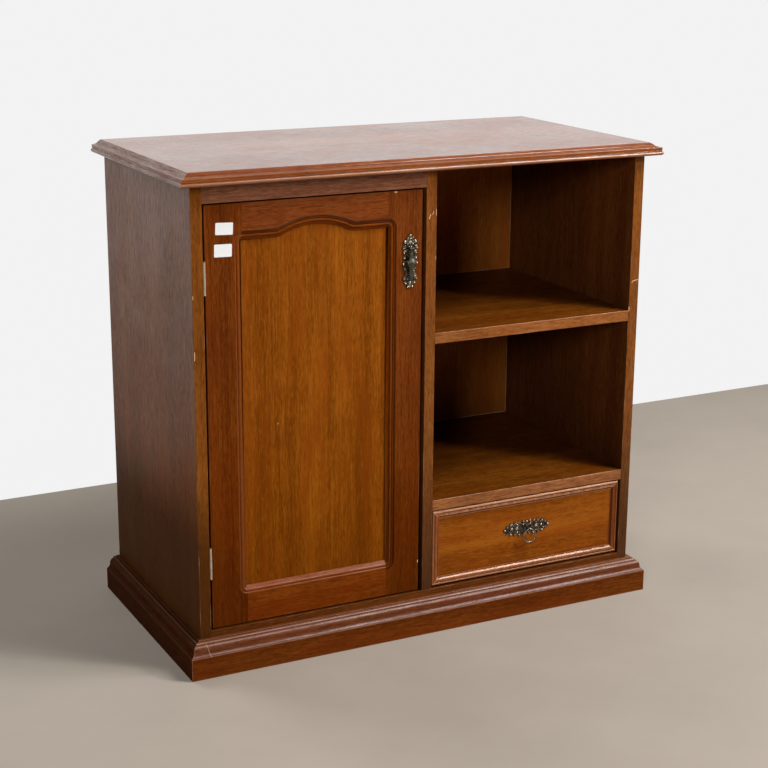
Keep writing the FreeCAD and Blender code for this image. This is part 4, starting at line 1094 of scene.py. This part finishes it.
# Ring of the drawer pull: a cast hoop through the eye of the post, a little thicker at its foot, where
# fingers have rubbed it.
ring_wire = 1.4
ring_thin = 0.1
hoop_sides = 64
low, high = edges_of("drawer_pull_ring")
centre = [(a + b) / 2 for a, b in zip(low, high)]
hoop = np.linspace(0, 2 * math.pi, hoop_sides, endpoint=False)[:, None]
wire = mm * ring_wire * (1 - ring_thin - ring_thin * np.sin(hoop))
from_centre = (high[0] - low[0]) / 2 - mm * ring_wire + wire * np.cos(turns)
points = np.stack([centre[0] + from_centre * np.cos(hoop), centre[1] + wire * np.sin(turns),
                   centre[2] + from_centre * np.sin(hoop)], axis=-1)
stands_for(surface("drawer_ring_cast", points, quads(hoop_sides, round_sides, True, True), ring_bronze),
           "drawer_pull_ring")

# Studio: a pale floor that ends where the wall stands in the picture, a large soft lamp high on the
# right, a small one below it, weaker ones from the front left, the left and behind, a surround that
# glosses mirror as a pale wall behind the cabinet, and the camera at the picture's own viewpoint.
floor_shade = (0.37, 0.318, 0.262)
floor_reach = 6.0
floor_ends = (0.70, 0.80)
floor_corners = [(-floor_reach, -floor_reach, 0.0), (floor_reach, -floor_reach, 0.0),
                 (floor_reach, floor_ends[1], 0.0), (-floor_reach, floor_ends[0], 0.0)]
floor_mesh = bpy.data.meshes.new("floor")
floor_mesh.from_pydata(floor_corners, [], [(0, 1, 2, 3)])
floor = bpy.data.objects.new("floor", floor_mesh)
bpy.context.scene.collection.objects.link(floor)
floor_finish = Finish("pale_floor", Roughness=0.7)
mottle = floor_finish.noise(floor_finish.place(), 3.0, 4.0, 0.6)
floor_finish.varies("Base Color", floor_finish.ramp(
    mottle, [(0.3, scaled(floor_shade, 0.93)), (0.7, scaled(floor_shade, 1.05))]))
floor_mesh.materials.append(floor_finish.material)

camera_white = 0.89
room_light = 0.05
wall_bright = 0.58
wall_dim = 0.08
wall_rise = (-0.1, 0.35)
surround = bpy.data.worlds.new("surround")
surround.use_nodes = True
sky = Nodes(surround.node_tree)
seen = sky.node("ShaderNodeLightPath", {}, {}, "Is Camera Ray")
mirrored = sky.node("ShaderNodeLightPath", {}, {}, "Is Glossy Ray").most(
    sky.node("ShaderNodeLightPath", {}, {}, "Is Transmission Ray"))
direction = sky.node("ShaderNodeTexCoord", {}, {}, "Generated")
wall_glow = direction.part("Y").rise(*wall_rise) * wall_bright + wall_dim
strength = (1 - seen.most(mirrored)) * room_light + seen * camera_white + mirrored * wall_glow
sky.tree.links.new(strength.socket, sky.tree.nodes["Background"].inputs["Strength"])
sky.tree.nodes["Background"].inputs["Color"].default_value = (1.0, 1.0, 1.0, 1.0)
bpy.context.scene.world = surround

for name, place, aim, size, energy in (
        ("high_lamp", (1.6, -1.4, 3.0), (0.0, 0.0, 0.4), 1.4, 107.0),
        ("key_lamp", (1.78, -1.88, 1.85), (0.0, 0.0, 0.4), 0.30, 36.0),
        ("fill_lamp", (-2.86, -3.79, 2.03), (0.2, 0.0, 0.5), 0.85, 65.0),
        ("left_lamp", (-2.8, 0.3, 1.7), (-0.4, 0.0, 0.5), 1.2, 7.0),
        ("back_lamp", (-1.4, 2.3, 3.0), (0.0, 0.2, 0.4), 1.4, 50.0)):
    lamp = bpy.data.lights.new(name, "AREA")
    lamp.size = size
    lamp.energy = energy
    lamp_object = bpy.data.objects.new(name, lamp)
    lamp_object.location = place
    lamp_object.rotation_euler = (Vector(aim) - Vector(place)).to_track_quat("-Z", "Y").to_euler()
    bpy.context.scene.collection.objects.link(lamp_object)

camera_place = Vector((-1.2445, -2.4717, 1.1546))
camera_yaw = math.radians(26.982)
camera_pitch = math.radians(-15.715)
camera_roll = math.radians(0.376)
camera = bpy.data.cameras.new("camera")
camera.sensor_width = 36.0
camera.lens = 78.77
camera_object = bpy.data.objects.new("camera", camera)
camera_object.location = camera_place
camera_object.rotation_euler = (
    Matrix.Rotation(-camera_yaw, 3, "Z") @ Matrix.Rotation(math.pi / 2 + camera_pitch, 3, "X")
    @ Matrix.Rotation(camera_roll, 3, "Z")).to_euler()
bpy.context.scene.collection.objects.link(camera_object)
bpy.context.scene.camera = camera_object

bpy.context.scene.view_settings.view_transform = "Standard"
